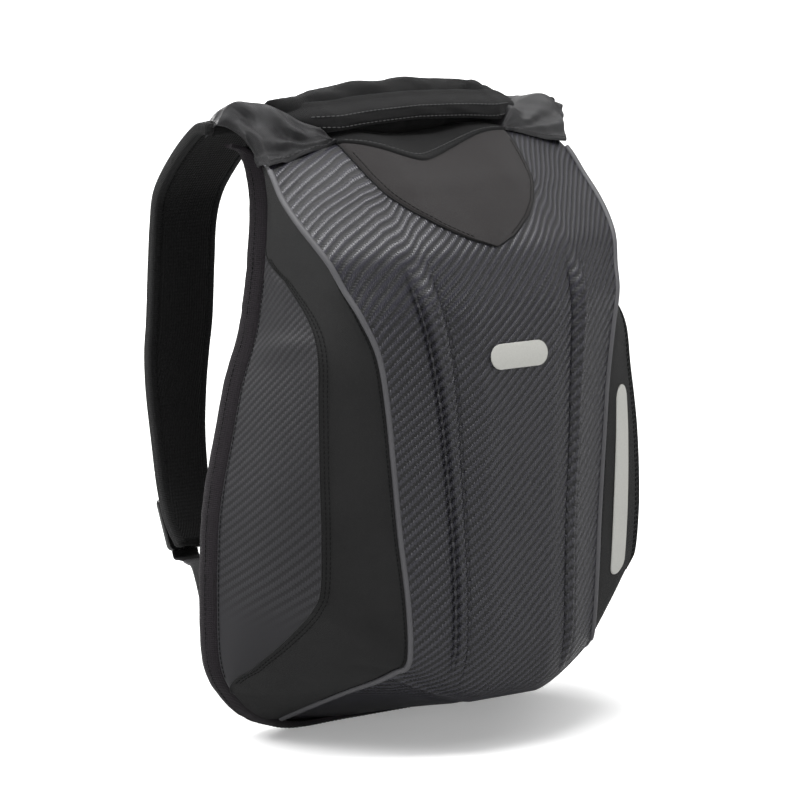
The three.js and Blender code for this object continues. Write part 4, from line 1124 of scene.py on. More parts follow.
class BACKPACK_OT_side_cloth(PieceOperator):
    """Make the side panels and the embossed gussets"""

    bl_idname = "backpack.side_cloth"
    bl_label = "Side Cloth"

    def make(self, sizes):
        panel, at = side_grid(COVER_CORNER_AT, LAST_SECTION, 1, 0.0012, 0.0004, 200, 34)
        normal = outward_from_middle(panel)
        uv = arc_uv(panel)
        share = np.linspace(0, 1, panel.shape[1])[None, :]
        uneven = 0.0008 * wavy(3, uv[..., 0] * 14, uv[..., 1] * 6) * np.sin(np.pi * share)
        uneven = uneven - 0.0006 * (1 - smooth(0, 0.10, share))
        outer = seat_front(panel + normal * uneven[..., None])
        inner = seat_front(panel - normal * CLOTH_WALL)
        gusset_out, gusset_in, gusset_normal, gusset_uv = self.gusset()
        seam_rows = np.linspace(SEAM_FROM + 0.1, SEAM_TO - 0.1, 220)
        seam_path = side_skin(seam_rows, np.full_like(seam_rows, 2.0))
        for side, name in SIDES:
            cloth = sheet_piece(f"side_cloth_{name}", mirrored(outer, side), mirrored(inner, side),
                                "side_cloth", "side_cloth", uv)
            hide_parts(f"side_panel_{name}")
            emboss = sheet_piece(f"gusset_cloth_{name}", mirrored(gusset_out, side),
                                 mirrored(gusset_in, side), "embossed_cloth", "embossed_cloth", gusset_uv)
            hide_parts(f"side_gusset_{name}")
            welt = tube_rings(mirrored(seam_path, side), 0.0007, 8)
            ring_piece(f"seam_welt_{name}", welt, "webbing", "webbing")
        everywhere = np.arange(5, len(panel) - 16)
        beside_seam = np.flatnonzero((at[:, 0] > SEAM_FROM + 0.4) & (at[:, 0] < SEAM_TO - 0.5))
        on_gusset = np.arange(16, len(gusset_out) - 10)
        lines = [line_over(outer, normal, 0.0034, everywhere),
                 line_over(outer, normal, 0.0030, beside_seam, True),
                 line_over(outer, normal, 0.0062, beside_seam, True),
                 line_over(gusset_out, gusset_normal, 0.0020, on_gusset, True)]
        for side, name in SIDES:
            for line in lines:
                sew(f"side_stitches_{name}", mirrored(line, side))

    def gusset(self):
        """Outer and inner grids of the right gusset, with its directions and its flat map."""
        grid, at = side_grid(SEAM_FROM + 0.06, SEAM_TO - 0.06, 2, 0.0004, 0.0, 170, 40)
        normal = outward_from_middle(grid)
        uv = arc_uv(grid)
        uv[..., 0] = uv[:, -1:, 0] - uv[..., 0]
        fan_from = 0.115
        fan_tall = 0.12
        fan = 2.4
        high = np.clip(grid[..., 2] + fan_from, 0, fan_tall)
        uv[..., 1] = -1.02 * grid[..., 2] + fan * (uv[..., 0] - 0.035) * high
        share = np.linspace(0, 1, grid.shape[1])[None, :]
        slack = np.sin(np.pi * share)
        width = np.linalg.norm(grid[:, 0] - grid[:, -1], axis=-1)[:, None]
        fold = 0.0014 * wavy(8, uv[..., 0] * 9, uv[..., 1] * 5) * slack
        fold = fold * np.minimum(1, width / 0.05)
        fold_at = 7.7
        fold_slope = 0.75
        fold = fold + 0.0030 * bell(at - fold_at - fold_slope * share, 0.30) * slack
        outer = seat_front(grid + normal * fold[..., None])
        inner = seat_front(grid - normal * CLOTH_WALL)
        return outer, inner, normal, uv


class BACKPACK_OT_piping(PieceOperator):
    """Make the grey piping along the shell's border"""

    bl_idname = "backpack.piping"
    bl_label = "Piping"

    def make(self, sizes):
        at = np.linspace(COVER_CORNER_AT + 0.1, LAST_SECTION, 420)
        path = pipe_at(at)
        path[:, 1] = np.minimum(path[:, 1], -(FRONT_START + PANEL_THICKNESS) - 0.001)
        for side, name in SIDES:
            rings = tube_rings(mirrored(path, side), PIPING_RADIUS, 14)
            piece = ring_piece(f"grey_piping_{name}", rings, "grey_piping", "grey_piping")
            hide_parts(f"piping_{name}")


class BACKPACK_OT_binding(PieceOperator):
    """Make the folded tape that binds the back panel's edge"""

    bl_idname = "backpack.binding"
    bl_label = "Edge Binding"

    def make(self, sizes):
        at = np.linspace(BINDING_FROM, len(OUTLINE["out"]) - 1.0, 420)
        width = BINDING_WIDTH * (0.3 + 0.7 * smooth(BINDING_FROM + 0.3, BINDING_FROM + 2.8, at))
        lean = EDGE_INSET * width / BINDING_WIDTH
        wall = BINDING_WALL
        zero = 0 * width
        profile = [
            (wall + zero, -0.006 + zero), (wall * 0.3 + zero, -0.0045 + zero), (zero, width * 0.12),
            (lean * 0.4, width * 0.65), (lean, width), (lean + wall * 0.8, width),
            (lean * 0.4 + wall, width * 0.6), (wall + zero, width * 0.12), (wall + zero, -0.0036 + zero),
        ]
        loops = closed_loops(profile, 4)
        rings = np.stack([outline_point(at, ring[:, 0], ring[:, 1]) for ring in loops], 1)
        wave = 0.0003 * wavy(5, at[:, None] * 2.2, np.linspace(0, 1, rings.shape[1])[None, :])
        rings = uneven_rings(rings, wave)
        back = mirrored(rings[:-1][::-1], -1)
        piece = ring_piece("edge_tape", np.concatenate([rings, back]), "binding_tape", "binding_tape")
        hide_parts("edge_binding")
        sewn = at > BINDING_FROM + 2.4
        for forward, inward in ((0.86, 0.86), (0.30, 0.15)):
            line = outline_point(at[sewn], (lean * inward - 0.0004)[sewn], (width * forward)[sewn])
            sew("binding_stitches", np.concatenate([line, mirrored(line[:-1][::-1], -1)]))


class BACKPACK_OT_back_panel(PieceOperator):
    """Make the padded back panel"""

    bl_idname = "backpack.back_panel"
    bl_label = "Back Panel"
    low = 0.002
    high = 0.925
    edge_wall = 0.006
    channel_depth = 0.0045
    channels_up = (0.30, 0.56, 0.79)

    def make(self, sizes):
        up = np.linspace(self.low, self.high, 180)
        edge = np.linspace(5.6, 26.6, 400)
        order = np.argsort(along(OUTLINE, "up", edge))
        widths = along(OUTLINE, "out", edge)[order]
        wide = BODY_HALF_WIDTH * np.interp(up, along(OUTLINE, "up", edge)[order], widths)
        wide = wide - CLEARANCE - BINDING_WALL * 0.8
        share = np.linspace(-1, 1, 120)
        out = wide[:, None] * share
        height = BODY_HEIGHT * up[:, None] + 0 * out
        side_room = wide[:, None] * (1 - np.abs(share))
        end_room = self.from_ends(height)
        room = np.minimum(side_room, end_room * 1.4)
        rise = self.edge_wall + (PANEL_THICKNESS - self.edge_wall) * np.sqrt(smooth(0, 0.026, room))
        channel = bell(out, 0.011) * smooth(0.02, 0.06, end_room)
        for centre in self.channels_up:
            line = bell(height / BODY_HEIGHT - centre, 0.013)
            channel = np.maximum(channel, 0.8 * line * smooth(0.012, 0.03, room))
        rise = rise - self.channel_depth * channel
        outer = place(out, -rise, height)
        inner = place(out, 0 * out, height)
        piece = sheet_piece("padded_back", outer, inner, "padded_mesh", "padded_mesh", arc_uv(outer))

        def sewn_down(points):
            tall = points[:, 2] + ORIGIN_UP
            ends = self.from_ends(tall)
            sides = np.interp(tall / BODY_HEIGHT, up, wide) - np.abs(points[:, 0])
            held = (points[:, 1] < 0.004 - PANEL_THICKNESS) | (np.minimum(sides, ends) < 0.014)
            held |= (np.abs(points[:, 0]) < 0.006) & (ends > 0.04)
            for centre in self.channels_up:
                held |= np.abs(tall / BODY_HEIGHT - centre) < 0.008
            return held

        plumped(piece, sewn_down, voxel=0.0055, cap=0.0022, growth=0.03)
        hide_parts("back_panel")

    def from_ends(self, height):
        """The distance to the nearer of the panel's two ends."""
        return np.minimum(height - BODY_HEIGHT * self.low, BODY_HEIGHT * self.high - height)


class BACKPACK_OT_top(PieceOperator):
    """Make the drooping cover, the padded roll and the grab handle"""

    bl_idname = "backpack.top"
    bl_label = "Cover and Handle"

    def make(self, sizes):
        self.cover()
        self.yoke()
        self.handle()

    def cover(self):
        reach = COVER_HALF_WIDTH - CLEARANCE / 2
        out = np.linspace(-reach, reach, 90)
        share = np.linspace(0.06, 1, 44)[:, None]
        at = share * cover_end(out)
        outer = laid(at, out + 0 * at, LAY_GAP + CLOTH_WALL)
        inner = laid(at, out + 0 * at, LAY_GAP * 0.5)
        sag = 0.0010 * wavy(21, out[None, :] * 18, share * 1.5) * np.sin(np.pi * share)
        hem = 0.0012 * bell(share - 0.97, 0.03)
        outward = unit(outer - inner)
        outer = outer + outward * (sag + hem)[..., None]
        piece = sheet_piece("top_cover_cloth", outer, inner, "cover_cloth", "cover_cloth", arc_uv(outer))
        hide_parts("top_cover")
        sew("cover_stitches", outer[-5, 4:-4] + outward[-5, 4:-4] * STITCH_LIFT)

    def yoke(self):
        bottom = BODY_HEIGHT * 0.937 - 0.003
        at = np.linspace(-6, 6, 190)
        row = np.abs(at)
        out = np.sign(at) * YOKE_HALF_WIDTH * along(YOKE_SHAPE, "out", row)
        slump = np.where(at < 0, 0.010, -0.008) * smooth(2.2, 4.2, row)
        top = BODY_HEIGHT * (along(YOKE_SHAPE, "top", row) + slump)
        front = YOKE_DEPTH * along(YOKE_SHAPE, "depth", row)
        tall = top - bottom
        zero = 0 * at
        back = PANEL_THICKNESS - 0.011 * smooth(3.6, 4.4, row)
        profile = [(-back, zero), (-back, tall * 0.7), (-back * 0.6, tall * 0.95), (zero, tall),
                   (front * 0.6, tall * 0.92), (front, tall * 0.6), (front, zero)]
        loops = closed_loops(profile, 7)
        rings = np.stack([place(out, ring[:, 0], bottom + ring[:, 1]) for ring in loops], 1)
        turn = np.linspace(0, FULL_TURN, rings.shape[1], endpoint=False)[None, :]
        wave = 0.0009 * wavy(31, out[:, None] * 26, np.cos(turn) * 0.7, np.sin(turn) * 0.7)
        rings = uneven_rings(rings, wave)
        lump = bell(out - 0.012, 0.014)[:, None] * np.sin(turn / 2) ** 8
        rings[..., 2] += 0.0030 * lump
        piece = ring_piece("yoke_roll", rounded_ends(rings, 0.012), "cover_cloth", "cover_cloth")
        seat = bottom - ORIGIN_UP + 0.005
        plumped(piece, lambda points: (points[:, 2] < seat) | (np.abs(points[:, 0]) > 0.125))
        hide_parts("yoke_pad")

    def handle(self):
        at = np.linspace(-5, 5, 220)
        row = np.abs(at)
        centre = body_point(HANDLE_PATH, row)
        centre[:, 0] *= np.sign(at)
        tall = 0.011 * along(HANDLE_PATH, "tall", row)
        forward = unit(np.array([0, -1, 0.15]))
        upward = unit(np.array([0, 0.15, 1]))
        across, thick = squared_off(44, 0.62, 0.72)
        thick = thick * (1 - 0.30 * bell(np.abs(across) - 0.74, 0.09))
        arched = 1 - 0.30 * (1 - smooth(1.2, 4.2, row))[:, None] * (across < 0)
        rings = (centre[:, None] + upward * (tall[:, None] * across * arched)[..., None]
                 + forward * (0.005 * thick)[None, :, None])
        wave = 0.0005 * wavy(41, centre[:, :1] * 30, across[None, :])
        rings = rings + forward * wave[..., None]
        lean = smooth(0.30, 1.0, across)[None, :] * (1 - 0.5 * smooth(3.2, 5, row))[:, None]
        rings = rings + np.array([0, 0.017, 0.004]) * lean[..., None]
        piece = ring_piece("handle_band", rounded_ends(rings, 0.004), "cover_cloth", "cover_cloth")
        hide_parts("grab_handle")
        sewn = row < 3.6
        for share in (0.36, -0.50):
            sew("handle_stitches", (centre + upward * (tall * share)[:, None] + forward * 0.0050)[sewn])


def cap_low(share):
    """Outer and inner points of a shoulder cap's lower border."""
    shoulder = 0.72
    across = np.minimum(1, share / shoulder)
    at = np.full_like(share, COVER_CORNER_AT)
    start = COVER_HALF_WIDTH + CLEARANCE / 2
    corner = pipe_at(at)
    lane = np.minimum(1, (start + (corner[:, 0] - start) * across) / corner[:, 0])
    outward = shell_outward(at, np.minimum(lane, 0.985))
    lift = LAY_GAP + (PIPING_RADIUS + CLEARANCE) * across**3
    inside = shell_skin(at, lane) + outward * lift[:, None]
    around = np.clip((share - shoulder) / (1 - shoulder), 0, 1)[:, None]
    target = edge_at(at) + SIDEWAYS * 0.0032
    target[:, 1] = -(FRONT_START + PANEL_THICKNESS + CLEARANCE)
    direction = unit(outward * (1 - around) + SIDEWAYS * around)
    inside = inside * (1 - around) + target * around + direction * 0.003 * np.sin(np.pi * around)
    return inside, direction


class BACKPACK_OT_shoulder_caps(PieceOperator):
    """Make the cloth from the shell's corners over the strap roots"""

    bl_idname = "backpack.shoulder_caps"
    bl_label = "Shoulder Caps"

    def make(self, sizes):
        share = np.linspace(0, 1, 96)
        rise = np.linspace(0, 1.4, 76)[:, None]
        inside, wall = self.cloth(share, rise)
        over = np.maximum(rise - 1, 0) / 0.4
        puff = smooth(0.15, 0.5, share) * smooth(1.0, 0.86, share) * smooth(0.3, 1.0, rise) * (1 - over)
        tuck = bell(share - 0.15, 0.10) * smooth(0.2, 1.0, rise)
        border = share**3 * np.sin(np.pi * np.clip(rise / 1.15, 0, 1))
        corner = smooth(0.70, 1.0, share) * smooth(0.5, 1.0, rise)
        # Metres by which each cap is puffed up, tucked up, pushed outwards and lowered
        uneven = {"left": (0.0085, 0.004, -0.009, 0), "right": (-0.002, 0.008, 0.007, 0.006)}
        for side, name in SIDES:
            puffed, tucked, pushed, lowered = uneven[name]
            folds = self.folds(share, rise, side)
            seat = inside.copy()
            seat[..., 2] += puffed * puff + tucked * tuck
            seat[..., 1] -= 0.005 * tuck
            seat[..., 0] += pushed * border
            seat[..., 2] -= lowered * corner
            outer = seat + wall * (CLOTH_WALL + folds)[..., None]
            inner = seat + wall * np.minimum(0, folds)[..., None]
            piece = sheet_piece(f"shoulder_cloth_{name}", mirrored(outer, side), mirrored(inner, side),
                                "satin_cloth", "cover_cloth", arc_uv(outer))
            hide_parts(f"shoulder_cap_{name}")
            sewn = np.argmin(np.abs(rise[:, 0] - 0.06))
            sew("cap_stitches", mirrored(outer[sewn, 3:66] + wall[sewn, 3:66] * STITCH_LIFT, side))

    def cloth(self, share, rise):
        """Inner points of the right cap, and the way its wall faces. Past a rise of 1 it is on the strap."""
        low, low_wall = cap_low(share)
        high = body_point(CAP_TOP, share * 4)
        outward = unit(np.stack([0.2 + 0.6 * share, -1 + 0 * share, 0.6 + 0 * share], -1))
        body = np.minimum(rise, 1)
        over = np.maximum(rise - 1, 0) / 0.4
        span = np.linalg.norm(low - high, axis=-1)
        full = 0.005 * np.minimum(1, span / 0.035) * (1 - 0.4 * share)
        lean = np.minimum(1, body * 2)[..., None]
        wall = unit(low_wall * (1 - lean) + outward * lean)
        inside = (low * (1 - body[..., None]) + high * body[..., None]
                  + outward * (full * np.sin(np.pi * body))[..., None])
        back = smooth(0, 1, over)
        inside[..., 1] += 0.024 * over
        inside[..., 2] -= 0.0065 * back * smooth(0.45, 0.7, share)
        wall = unit(wall * (1 - back[..., None]) + np.array([0, 0.1, 1.0]) * back[..., None])
        inside[..., 2] -= 0.011 * smooth(0.80, 1.0, share) * smooth(0.75, 1.3, rise)
        inside[..., 0] -= 0.006 * smooth(0.85, 1.0, share) * smooth(0.95, 1.4, rise)
        return inside, wall

    def folds(self, share, rise, side):
        """Soft folds that fan out from the handle's end and gather at the wing."""
        seed, size, rough, phase = (51, 0.0030, 0.0020, 0.6) if side < 0 else (57, 0.0012, 0.0006, 2.1)
        fan = np.arctan2(rise + 0.05, share + 0.15)
        fold = size * np.sin(fan * 15 + phase) * smooth(0.15, 0.45, share)
        fold = fold * smooth(1.25, 0.7, rise) * smooth(0.02, 0.25, rise)
        gather = -0.0030 * np.exp(-((share - 0.86) / 0.05) ** 2 - ((rise - 0.30) / 0.16) ** 2)
        ridge = 0.0022 * bell(share - 0.94, 0.035) * smooth(0.05, 0.5, rise) * smooth(1.2, 0.9, rise)
        return fold + gather + ridge + rough * wavy(seed, share * 5 + 0 * rise, rise * 3.5 + 0 * share)


def strap_frame(at):
    """Places, runs and rear-facing directions along a strap's centre line."""
    def centre(row):
        return place(STRAP_CENTRE * along(STRAP_PATH, "out", row),
                     -STRAP_REACH * along(STRAP_PATH, "behind", row),
                     BODY_HEIGHT * along(STRAP_PATH, "up", row))
    at = np.atleast_1d(np.asarray(at, float))
    run = centre(np.minimum(at + ROW_STEP, STRAP_LAST)) - centre(np.maximum(at - ROW_STEP, 0))
    run[:, 0] = 0
    run = unit(run)
    return centre(at), run, np.cross(SIDEWAYS, run)


class BACKPACK_OT_straps(PieceOperator):
    """Make the padded shoulder straps and their bound edges"""

    bl_idname = "backpack.straps"
    bl_label = "Shoulder Straps"

    def make(self, sizes):
        at = np.linspace(0, STRAP_LAST, 300)
        centre, _, rear = strap_frame(at)
        half = STRAP_WIDTH * along(STRAP_PATH, "wide", at) / 2
        across, thick = squared_off(56, 0.45, 0.55)
        thin = 1 - 0.30 * smooth(0.72, 0.90, np.abs(across))
        wave = 1 + 0.05 * wavy(61, at[:, None] * 0.8, across[None, :] * 0.6)
        rings = (centre[:, None] + SIDEWAYS * (half[:, None] * 0.97 * across)[..., None]
                 + rear[:, None] * (0.0062 * thick * thin * wave)[..., None])
        rings = rounded_ends(rings, 0.006)
        tape_across, tape_thick = squared_off(22, 0.6, 0.6)
        tape_across = SIDEWAYS * (tape_across * 0.0042)[None, :, None]
        tape_thick = rear[:, None] * (tape_thick * 0.0050)[None, :, None]
        for side, name in SIDES:
            piece = ring_piece(f"strap_pad_{name}", mirrored(rings, side), "padded_mesh", "padded_mesh")
            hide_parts(f"shoulder_strap_{name}")
            for edge, label in ((-1, "inner"), (1, "outer")):
                middle = centre + SIDEWAYS * (edge * (half - 0.0036))[:, None]
                tape = rounded_ends(middle[:, None] + tape_across + tape_thick, 0.004)
                ring_piece(f"strap_tape_{name}_{label}", mirrored(tape, side), "webbing", "webbing")
                for face in (-1, 1):
                    line = centre + SIDEWAYS * (edge * (half - 0.0062))[:, None] + rear * (face * 0.0051)
                    sew(f"strap_stitches_{name}", mirrored(line[6:-6], side))


def band_rings(points, start_width, end_width, thickness):
    """Rings of a flat band through the given points, level across the X axis."""
    path = open_curve(points, 10)
    run = np.gradient(path, axis=0)
    run[:, 0] = 0
    rear = np.cross(SIDEWAYS, unit(run))
    share = np.linspace(0, 1, len(path))
    half = (start_width + (end_width - start_width) * share) / 2
    across, thick = squared_off(28, 0.25, 0.6)
    return (path[:, None] + SIDEWAYS * (half[:, None] * across)[..., None]
            + rear[:, None] * (thickness / 2 * thick)[None, :, None])


def buckle_point(down, behind):
    centre, run, rear = strap_frame(BUCKLE_AT)
    return centre[0] + rear[0] * (BUCKLE_BEHIND + behind) + run[0] * down


def on_strap(higher):
    """A point on the strap's rear face, at a distance above the buckle's middle."""
    half_row = 0.5
    near = strap_frame([BUCKLE_AT - half_row, BUCKLE_AT])[0]
    rows = higher / (np.linalg.norm(near[1] - near[0]) / half_row)
    centre, _, rear = strap_frame(BUCKLE_AT - rows)
    return centre[0] + rear[0] * (STRAP_THICKNESS / 2 + CLEARANCE * 2 + WEBBING_THICKNESS / 2)


def tab_point(row):
    seat = PANEL_THICKNESS + CLEARANCE + 0.0015
    return place(BODY_HALF_WIDTH * along(TAB_PATH, "out", row),
                 -seat - STRAP_REACH * along(TAB_PATH, "behind", row),
                 BODY_HEIGHT * along(TAB_PATH, "up", row))


def rounded_outline(width, height, centre, radius, steps=6):
    """Corner points of a rounded rectangle, in order."""
    points = []
    for cx, cy, start in ((1, -1, -90), (1, 1, 0), (-1, 1, 90), (-1, -1, 180)):
        for k in range(steps + 1):
            angle = math.radians(start + 90 * k / steps)
            points.append((cx * (width / 2 - radius) + radius * math.cos(angle),
                           centre + cy * (height / 2 - radius) + radius * math.sin(angle)))
    return points


def moulded_plate(outlines, thickness, rounding, turn, origin):
    """Points and faces of a plate from flat outlines, the first its border and the rest its holes."""
    flat = bpy.data.curves.new("plate", "CURVE")
    flat.dimensions = "2D"
    flat.fill_mode = "BOTH"
    flat.extrude = thickness / 2 - rounding
    flat.bevel_depth = rounding
    flat.bevel_resolution = 2
    flat.offset = -rounding
    for outline in outlines:
        spline = flat.splines.new("POLY")
        spline.points.add(len(outline) - 1)
        for point, (x, y) in zip(spline.points, outline):
            point.co = (x, y, 0, 1)
        spline.use_cyclic_u = True
    carrier = bpy.data.objects.new("plate", flat)
    mesh = bpy.data.meshes.new_from_object(carrier)
    bpy.data.objects.remove(carrier)
    bpy.data.curves.remove(flat)
    points = mesh_points(mesh) @ np.asarray(turn) + np.asarray(origin)
    faces = [list(p.vertices) for p in mesh.polygons]
    bpy.data.meshes.remove(mesh)
    return merged(points, faces)


def merged(points, faces):
    """Joins points that fall on one another, and drops faces that vanish."""
    keys = {}
    index = []
    kept = []
    for point in points:
        key = tuple(np.round(point, 7))
        if key not in keys:
            keys[key] = len(kept)
            kept.append(point)
        index.append(keys[key])
    joined = [[index[i] for i in face] for face in faces]
    return np.array(kept), [face for face in joined if len(set(face)) == len(face)]


class BACKPACK_OT_buckles(PieceOperator):
    """Make the ladder buckles, their bands, the adjusting webbing and the sewn tabs"""

    bl_idname = "backpack.buckles"
    bl_label = "Buckles and Webbing"

    def make(self, sizes):
        _, run, rear = strap_frame(BUCKLE_AT)
        outlines = [rounded_outline(BUCKLE_WIDTH, BUCKLE_LENGTH, 0, 0.005)]
        for side, _ in SIDES:
            centre = side * (SLOT_LENGTH + BUCKLE_BAR) / 2
            outlines.append(rounded_outline(WEBBING_WIDTH + 0.002, SLOT_LENGTH, centre, 0.001))
        turn = [tuple(SIDEWAYS), tuple(run[0]), tuple(rear[0])]
        points, faces = moulded_plate(outlines, BUCKLE_THICKNESS, 0.0012, turn, buckle_point(0, 0))
        pull, tab = self.lower_bands()
        flat = (WEBBING_WIDTH, WEBBING_WIDTH, WEBBING_THICKNESS)
        bands = (
            ("anchor_band", "buckle_anchor", "webbing", "webbing", band_rings(self.anchor(), *flat)),
            ("pull_webbing", "webbing", "webbing", "webbing", band_rings(pull, *flat)),
            ("tab_cloth", "strap_tab", "satin_cloth", "cover_cloth",
             band_rings(tab, 0.044, WEBBING_WIDTH + 0.002, 0.003)),
        )
        for side, name in SIDES:
            piece = new_piece(f"buckle_frame_{name}", mirrored(points, side), faces,
                              finish("buckle_plastic"), "buckle_plastic", sharp=40)
            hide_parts(f"ladder_buckle_{name}")
            for label, node, look, slot, rings in bands:
                band = ring_piece(f"{label}_{name}", mirrored(rings, side), look, slot)
                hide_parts(f"{node}_{name}")

    def anchor(self):
        """The band from the strap round the buckle's upper bar and back."""
        bar = -(BUCKLE_LENGTH - BUCKLE_BAR) / 2
        past = bar + BUCKLE_BAR / 2 + CLEARANCE + WEBBING_THICKNESS
        corner = bar + BUCKLE_BAR / 2 + CLEARANCE
        face = BUCKLE_THICKNESS / 2
        round_bar = (
            (bar, -BAND_OFF_BUCKLE), (corner, -BAND_OFF_BUCKLE), (past, -face), (past, face),
            (corner, BAND_OFF_BUCKLE), (bar, BAND_OFF_BUCKLE), (bar - BUCKLE_BAR * 2, BAND_OFF_BUCKLE * 0.7),
        )
        sewn = [on_strap(higher) for higher in (0.046, 0.036, 0.027)]
        return sewn + [buckle_point(down, behind) for down, behind in round_bar]

    def lower_bands(self):
        """The webbing from the buckle's lower bar to the tab, and the tab sewn to the back panel."""
        lower = (BUCKLE_LENGTH - BUCKLE_BAR) / 2
        tip = tab_point(np.array([2.0]))[0]
        tip_run = unit(tip - tab_point(np.array([1.9]))[0])
        below = buckle_point(lower * 1.4, BAND_OFF_BUCKLE)
        longer = tip + (below - tip) * 0.5
        first = longer + tip_run * CLEARANCE
        inner = lower - BUCKLE_BAR / 2 - CLEARANCE
        pull = [first, (first + below) / 2, below, buckle_point(lower, BAND_OFF_BUCKLE),
                buckle_point(inner, BAND_OFF_BUCKLE),
                buckle_point(inner - WEBBING_THICKNESS, BUCKLE_THICKNESS / 2),
                buckle_point(lower - BUCKLE_BAR - WEBBING_THICKNESS * 2, -BUCKLE_THICKNESS / 4)]
        tab = [*tab_point(np.linspace(0, 1.9, 4)), (tip + longer) / 2, longer]
        return pull, tab


class BACKPACK_OT_reflectors(PieceOperator):
    """Make the plain reflective bar and strip"""

    bl_idname = "backpack.reflectors"
    bl_label = "Reflective Pieces"

    def make(self, sizes):
        self.bar()
        self.strip()

    def bar(self):
        at = np.array([8.15])
        middle = np.array([0.0])
        outward = shell_outward(at, middle)[0]
        outward[0] = 0
        outward = unit(outward)
        seat = shell_skin(at, middle)[0] + outward * 0.0009
        turn = [tuple(SIDEWAYS), tuple(np.cross(outward, SIDEWAYS)), tuple(outward)]
        outline = rounded_outline(0.056, 0.020, 0, 0.0099, 12)
        points, faces = moulded_plate([outline], 0.0012, 0.0004, turn, seat)
        piece = new_piece("reflective_bar", points, faces, finish("reflective_print"), "reflective_print",
                          sharp=40)
        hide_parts("front_reflector")

    def strip(self):
        first = 9.2
        last = 12.4
        rows = np.linspace(first, last, 120)
        end = np.minimum(rows - first, last - rows) / 0.25
        squeeze = np.where(end < 1, np.sqrt(np.maximum(0.02, 1 - (1 - np.minimum(end, 1)) ** 2)), 1)
        lane = 1.46 + (0.16 * squeeze)[:, None] * np.linspace(-1, 1, 12)
        grid = side_skin(np.broadcast_to(rows[:, None], lane.shape), lane)
        normal = outward_from_middle(grid)
        piece = sheet_piece("reflective_strip", grid + normal * 0.0016, grid + normal * 0.0002,
                            "reflective_print", "reflective_print", arc_uv(grid))
        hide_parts("side_reflector")


def stitch_tree():
    """A geometry tree that sets stitches along the paths it is given."""
    tree = bpy.data.node_groups.new("Stitches along paths", "GeometryNodeTree")
    sockets = [("Geometry", "INPUT", "NodeSocketGeometry"), ("Stitch length", "INPUT", "NodeSocketFloat"),
               ("Gap", "INPUT", "NodeSocketFloat"), ("Thread", "INPUT", "NodeSocketFloat"),
               ("Material", "INPUT", "NodeSocketMaterial"), ("Geometry", "OUTPUT", "NodeSocketGeometry")]
    for label, way, kind in sockets:
        tree.interface.new_socket(name=label, in_out=way, socket_type=kind)
    g = Graph(tree)
    given = g.node("NodeGroupInput").outputs
    made = g.node("NodeGroupOutput").inputs
    length = given["Stitch length"]
    paths = g.node("GeometryNodeMeshToCurve", given["Geometry"]).outputs[0]
    resampling = g.node("GeometryNodeResampleCurve")
    if "Mode" in resampling.inputs:
        resampling.inputs["Mode"].default_value = "Length"
    else:
        resampling.mode = "LENGTH"
    spaced = g.fed(resampling, Curve=paths, Length=g.plus(length, given["Gap"]))
    along_path = g.node("GeometryNodeInputTangent").outputs[0]
    aligned = g.fed(g.node("FunctionNodeAlignRotationToVector", axis="Z"), Vector=along_path)
    rod = g.fed(g.node("GeometryNodeMeshCylinder", fill_type="TRIANGLE_FAN"), Vertices=6, Side_Segments=3,
                Radius=g.times(given["Thread"], 0.5), Depth=length)
    where = g.node("GeometryNodeInputPosition").outputs[0]
    _, _, high = g.split(where)
    share = g.math("DIVIDE", high, g.times(length, 0.5))
    slim = g.math("SUBTRACT", 1.0, g.times(g.times(share, share), 0.55))
    joined = g.node("ShaderNodeCombineXYZ", slim, slim, 1.0).outputs[0]
    scaled = g.node("ShaderNodeVectorMath", where, joined, operation="MULTIPLY").outputs[0]
    shaped = g.fed(g.node("GeometryNodeSetPosition"), Geometry=rod, Position=scaled)
    many = g.fed(g.node("GeometryNodeInstanceOnPoints"), Points=spaced, Instance=shaped, Rotation=aligned)
    real = g.node("GeometryNodeRealizeInstances", many).outputs[0]
    g.feed(made[0], g.fed(g.node("GeometryNodeSetMaterial", real), Material=given["Material"]))
    return tree


def applied(carrier, tree, values, name):
    """Runs a geometry tree on a carrier mesh and keeps its result as a plain mesh."""
    modifier = carrier.modifiers.new("made", "NODES")
    modifier.node_group = tree
    for item in tree.interface.items_tree:
        if item.item_type == "SOCKET" and item.in_out == "INPUT" and item.name in values:
            modifier[item.identifier] = values[item.name]
    mesh = evaluated_mesh(carrier, name)
    bpy.data.objects.remove(carrier)
    return mesh


class BACKPACK_OT_stitching(PieceOperator):
    """Sew every seam with stitches set along its line"""

    bl_idname = "backpack.stitching"
    bl_label = "Stitching"

    def make(self, sizes):
        tree = stitch_tree()
        for name, lines in SEWING.items():
            points = []
            edges = []
            for path in lines:
                edges += [(len(points) + i, len(points) + i + 1) for i in range(len(path) - 1)]
                points += path.tolist()
            mesh = bpy.data.meshes.new(f"{name}_lines")
            mesh.from_pydata(points, edges, [])
            made = applied(linked(f"{name}_lines", mesh), tree, {
                "Stitch length": sizes.stitch_length, "Gap": sizes.stitch_gap,
                "Thread": sizes.sewing_thread,
                "Material": finish("grey_thread" if name in PAINTED_HIGHLIGHT_SEAMS else "dark_thread"),
            }, name)
            if not made.polygons:
                raise RuntimeError(f"no stitches were made for {name}")
            made.shade_smooth()
            piece = linked(name, made)
            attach(piece, "root")


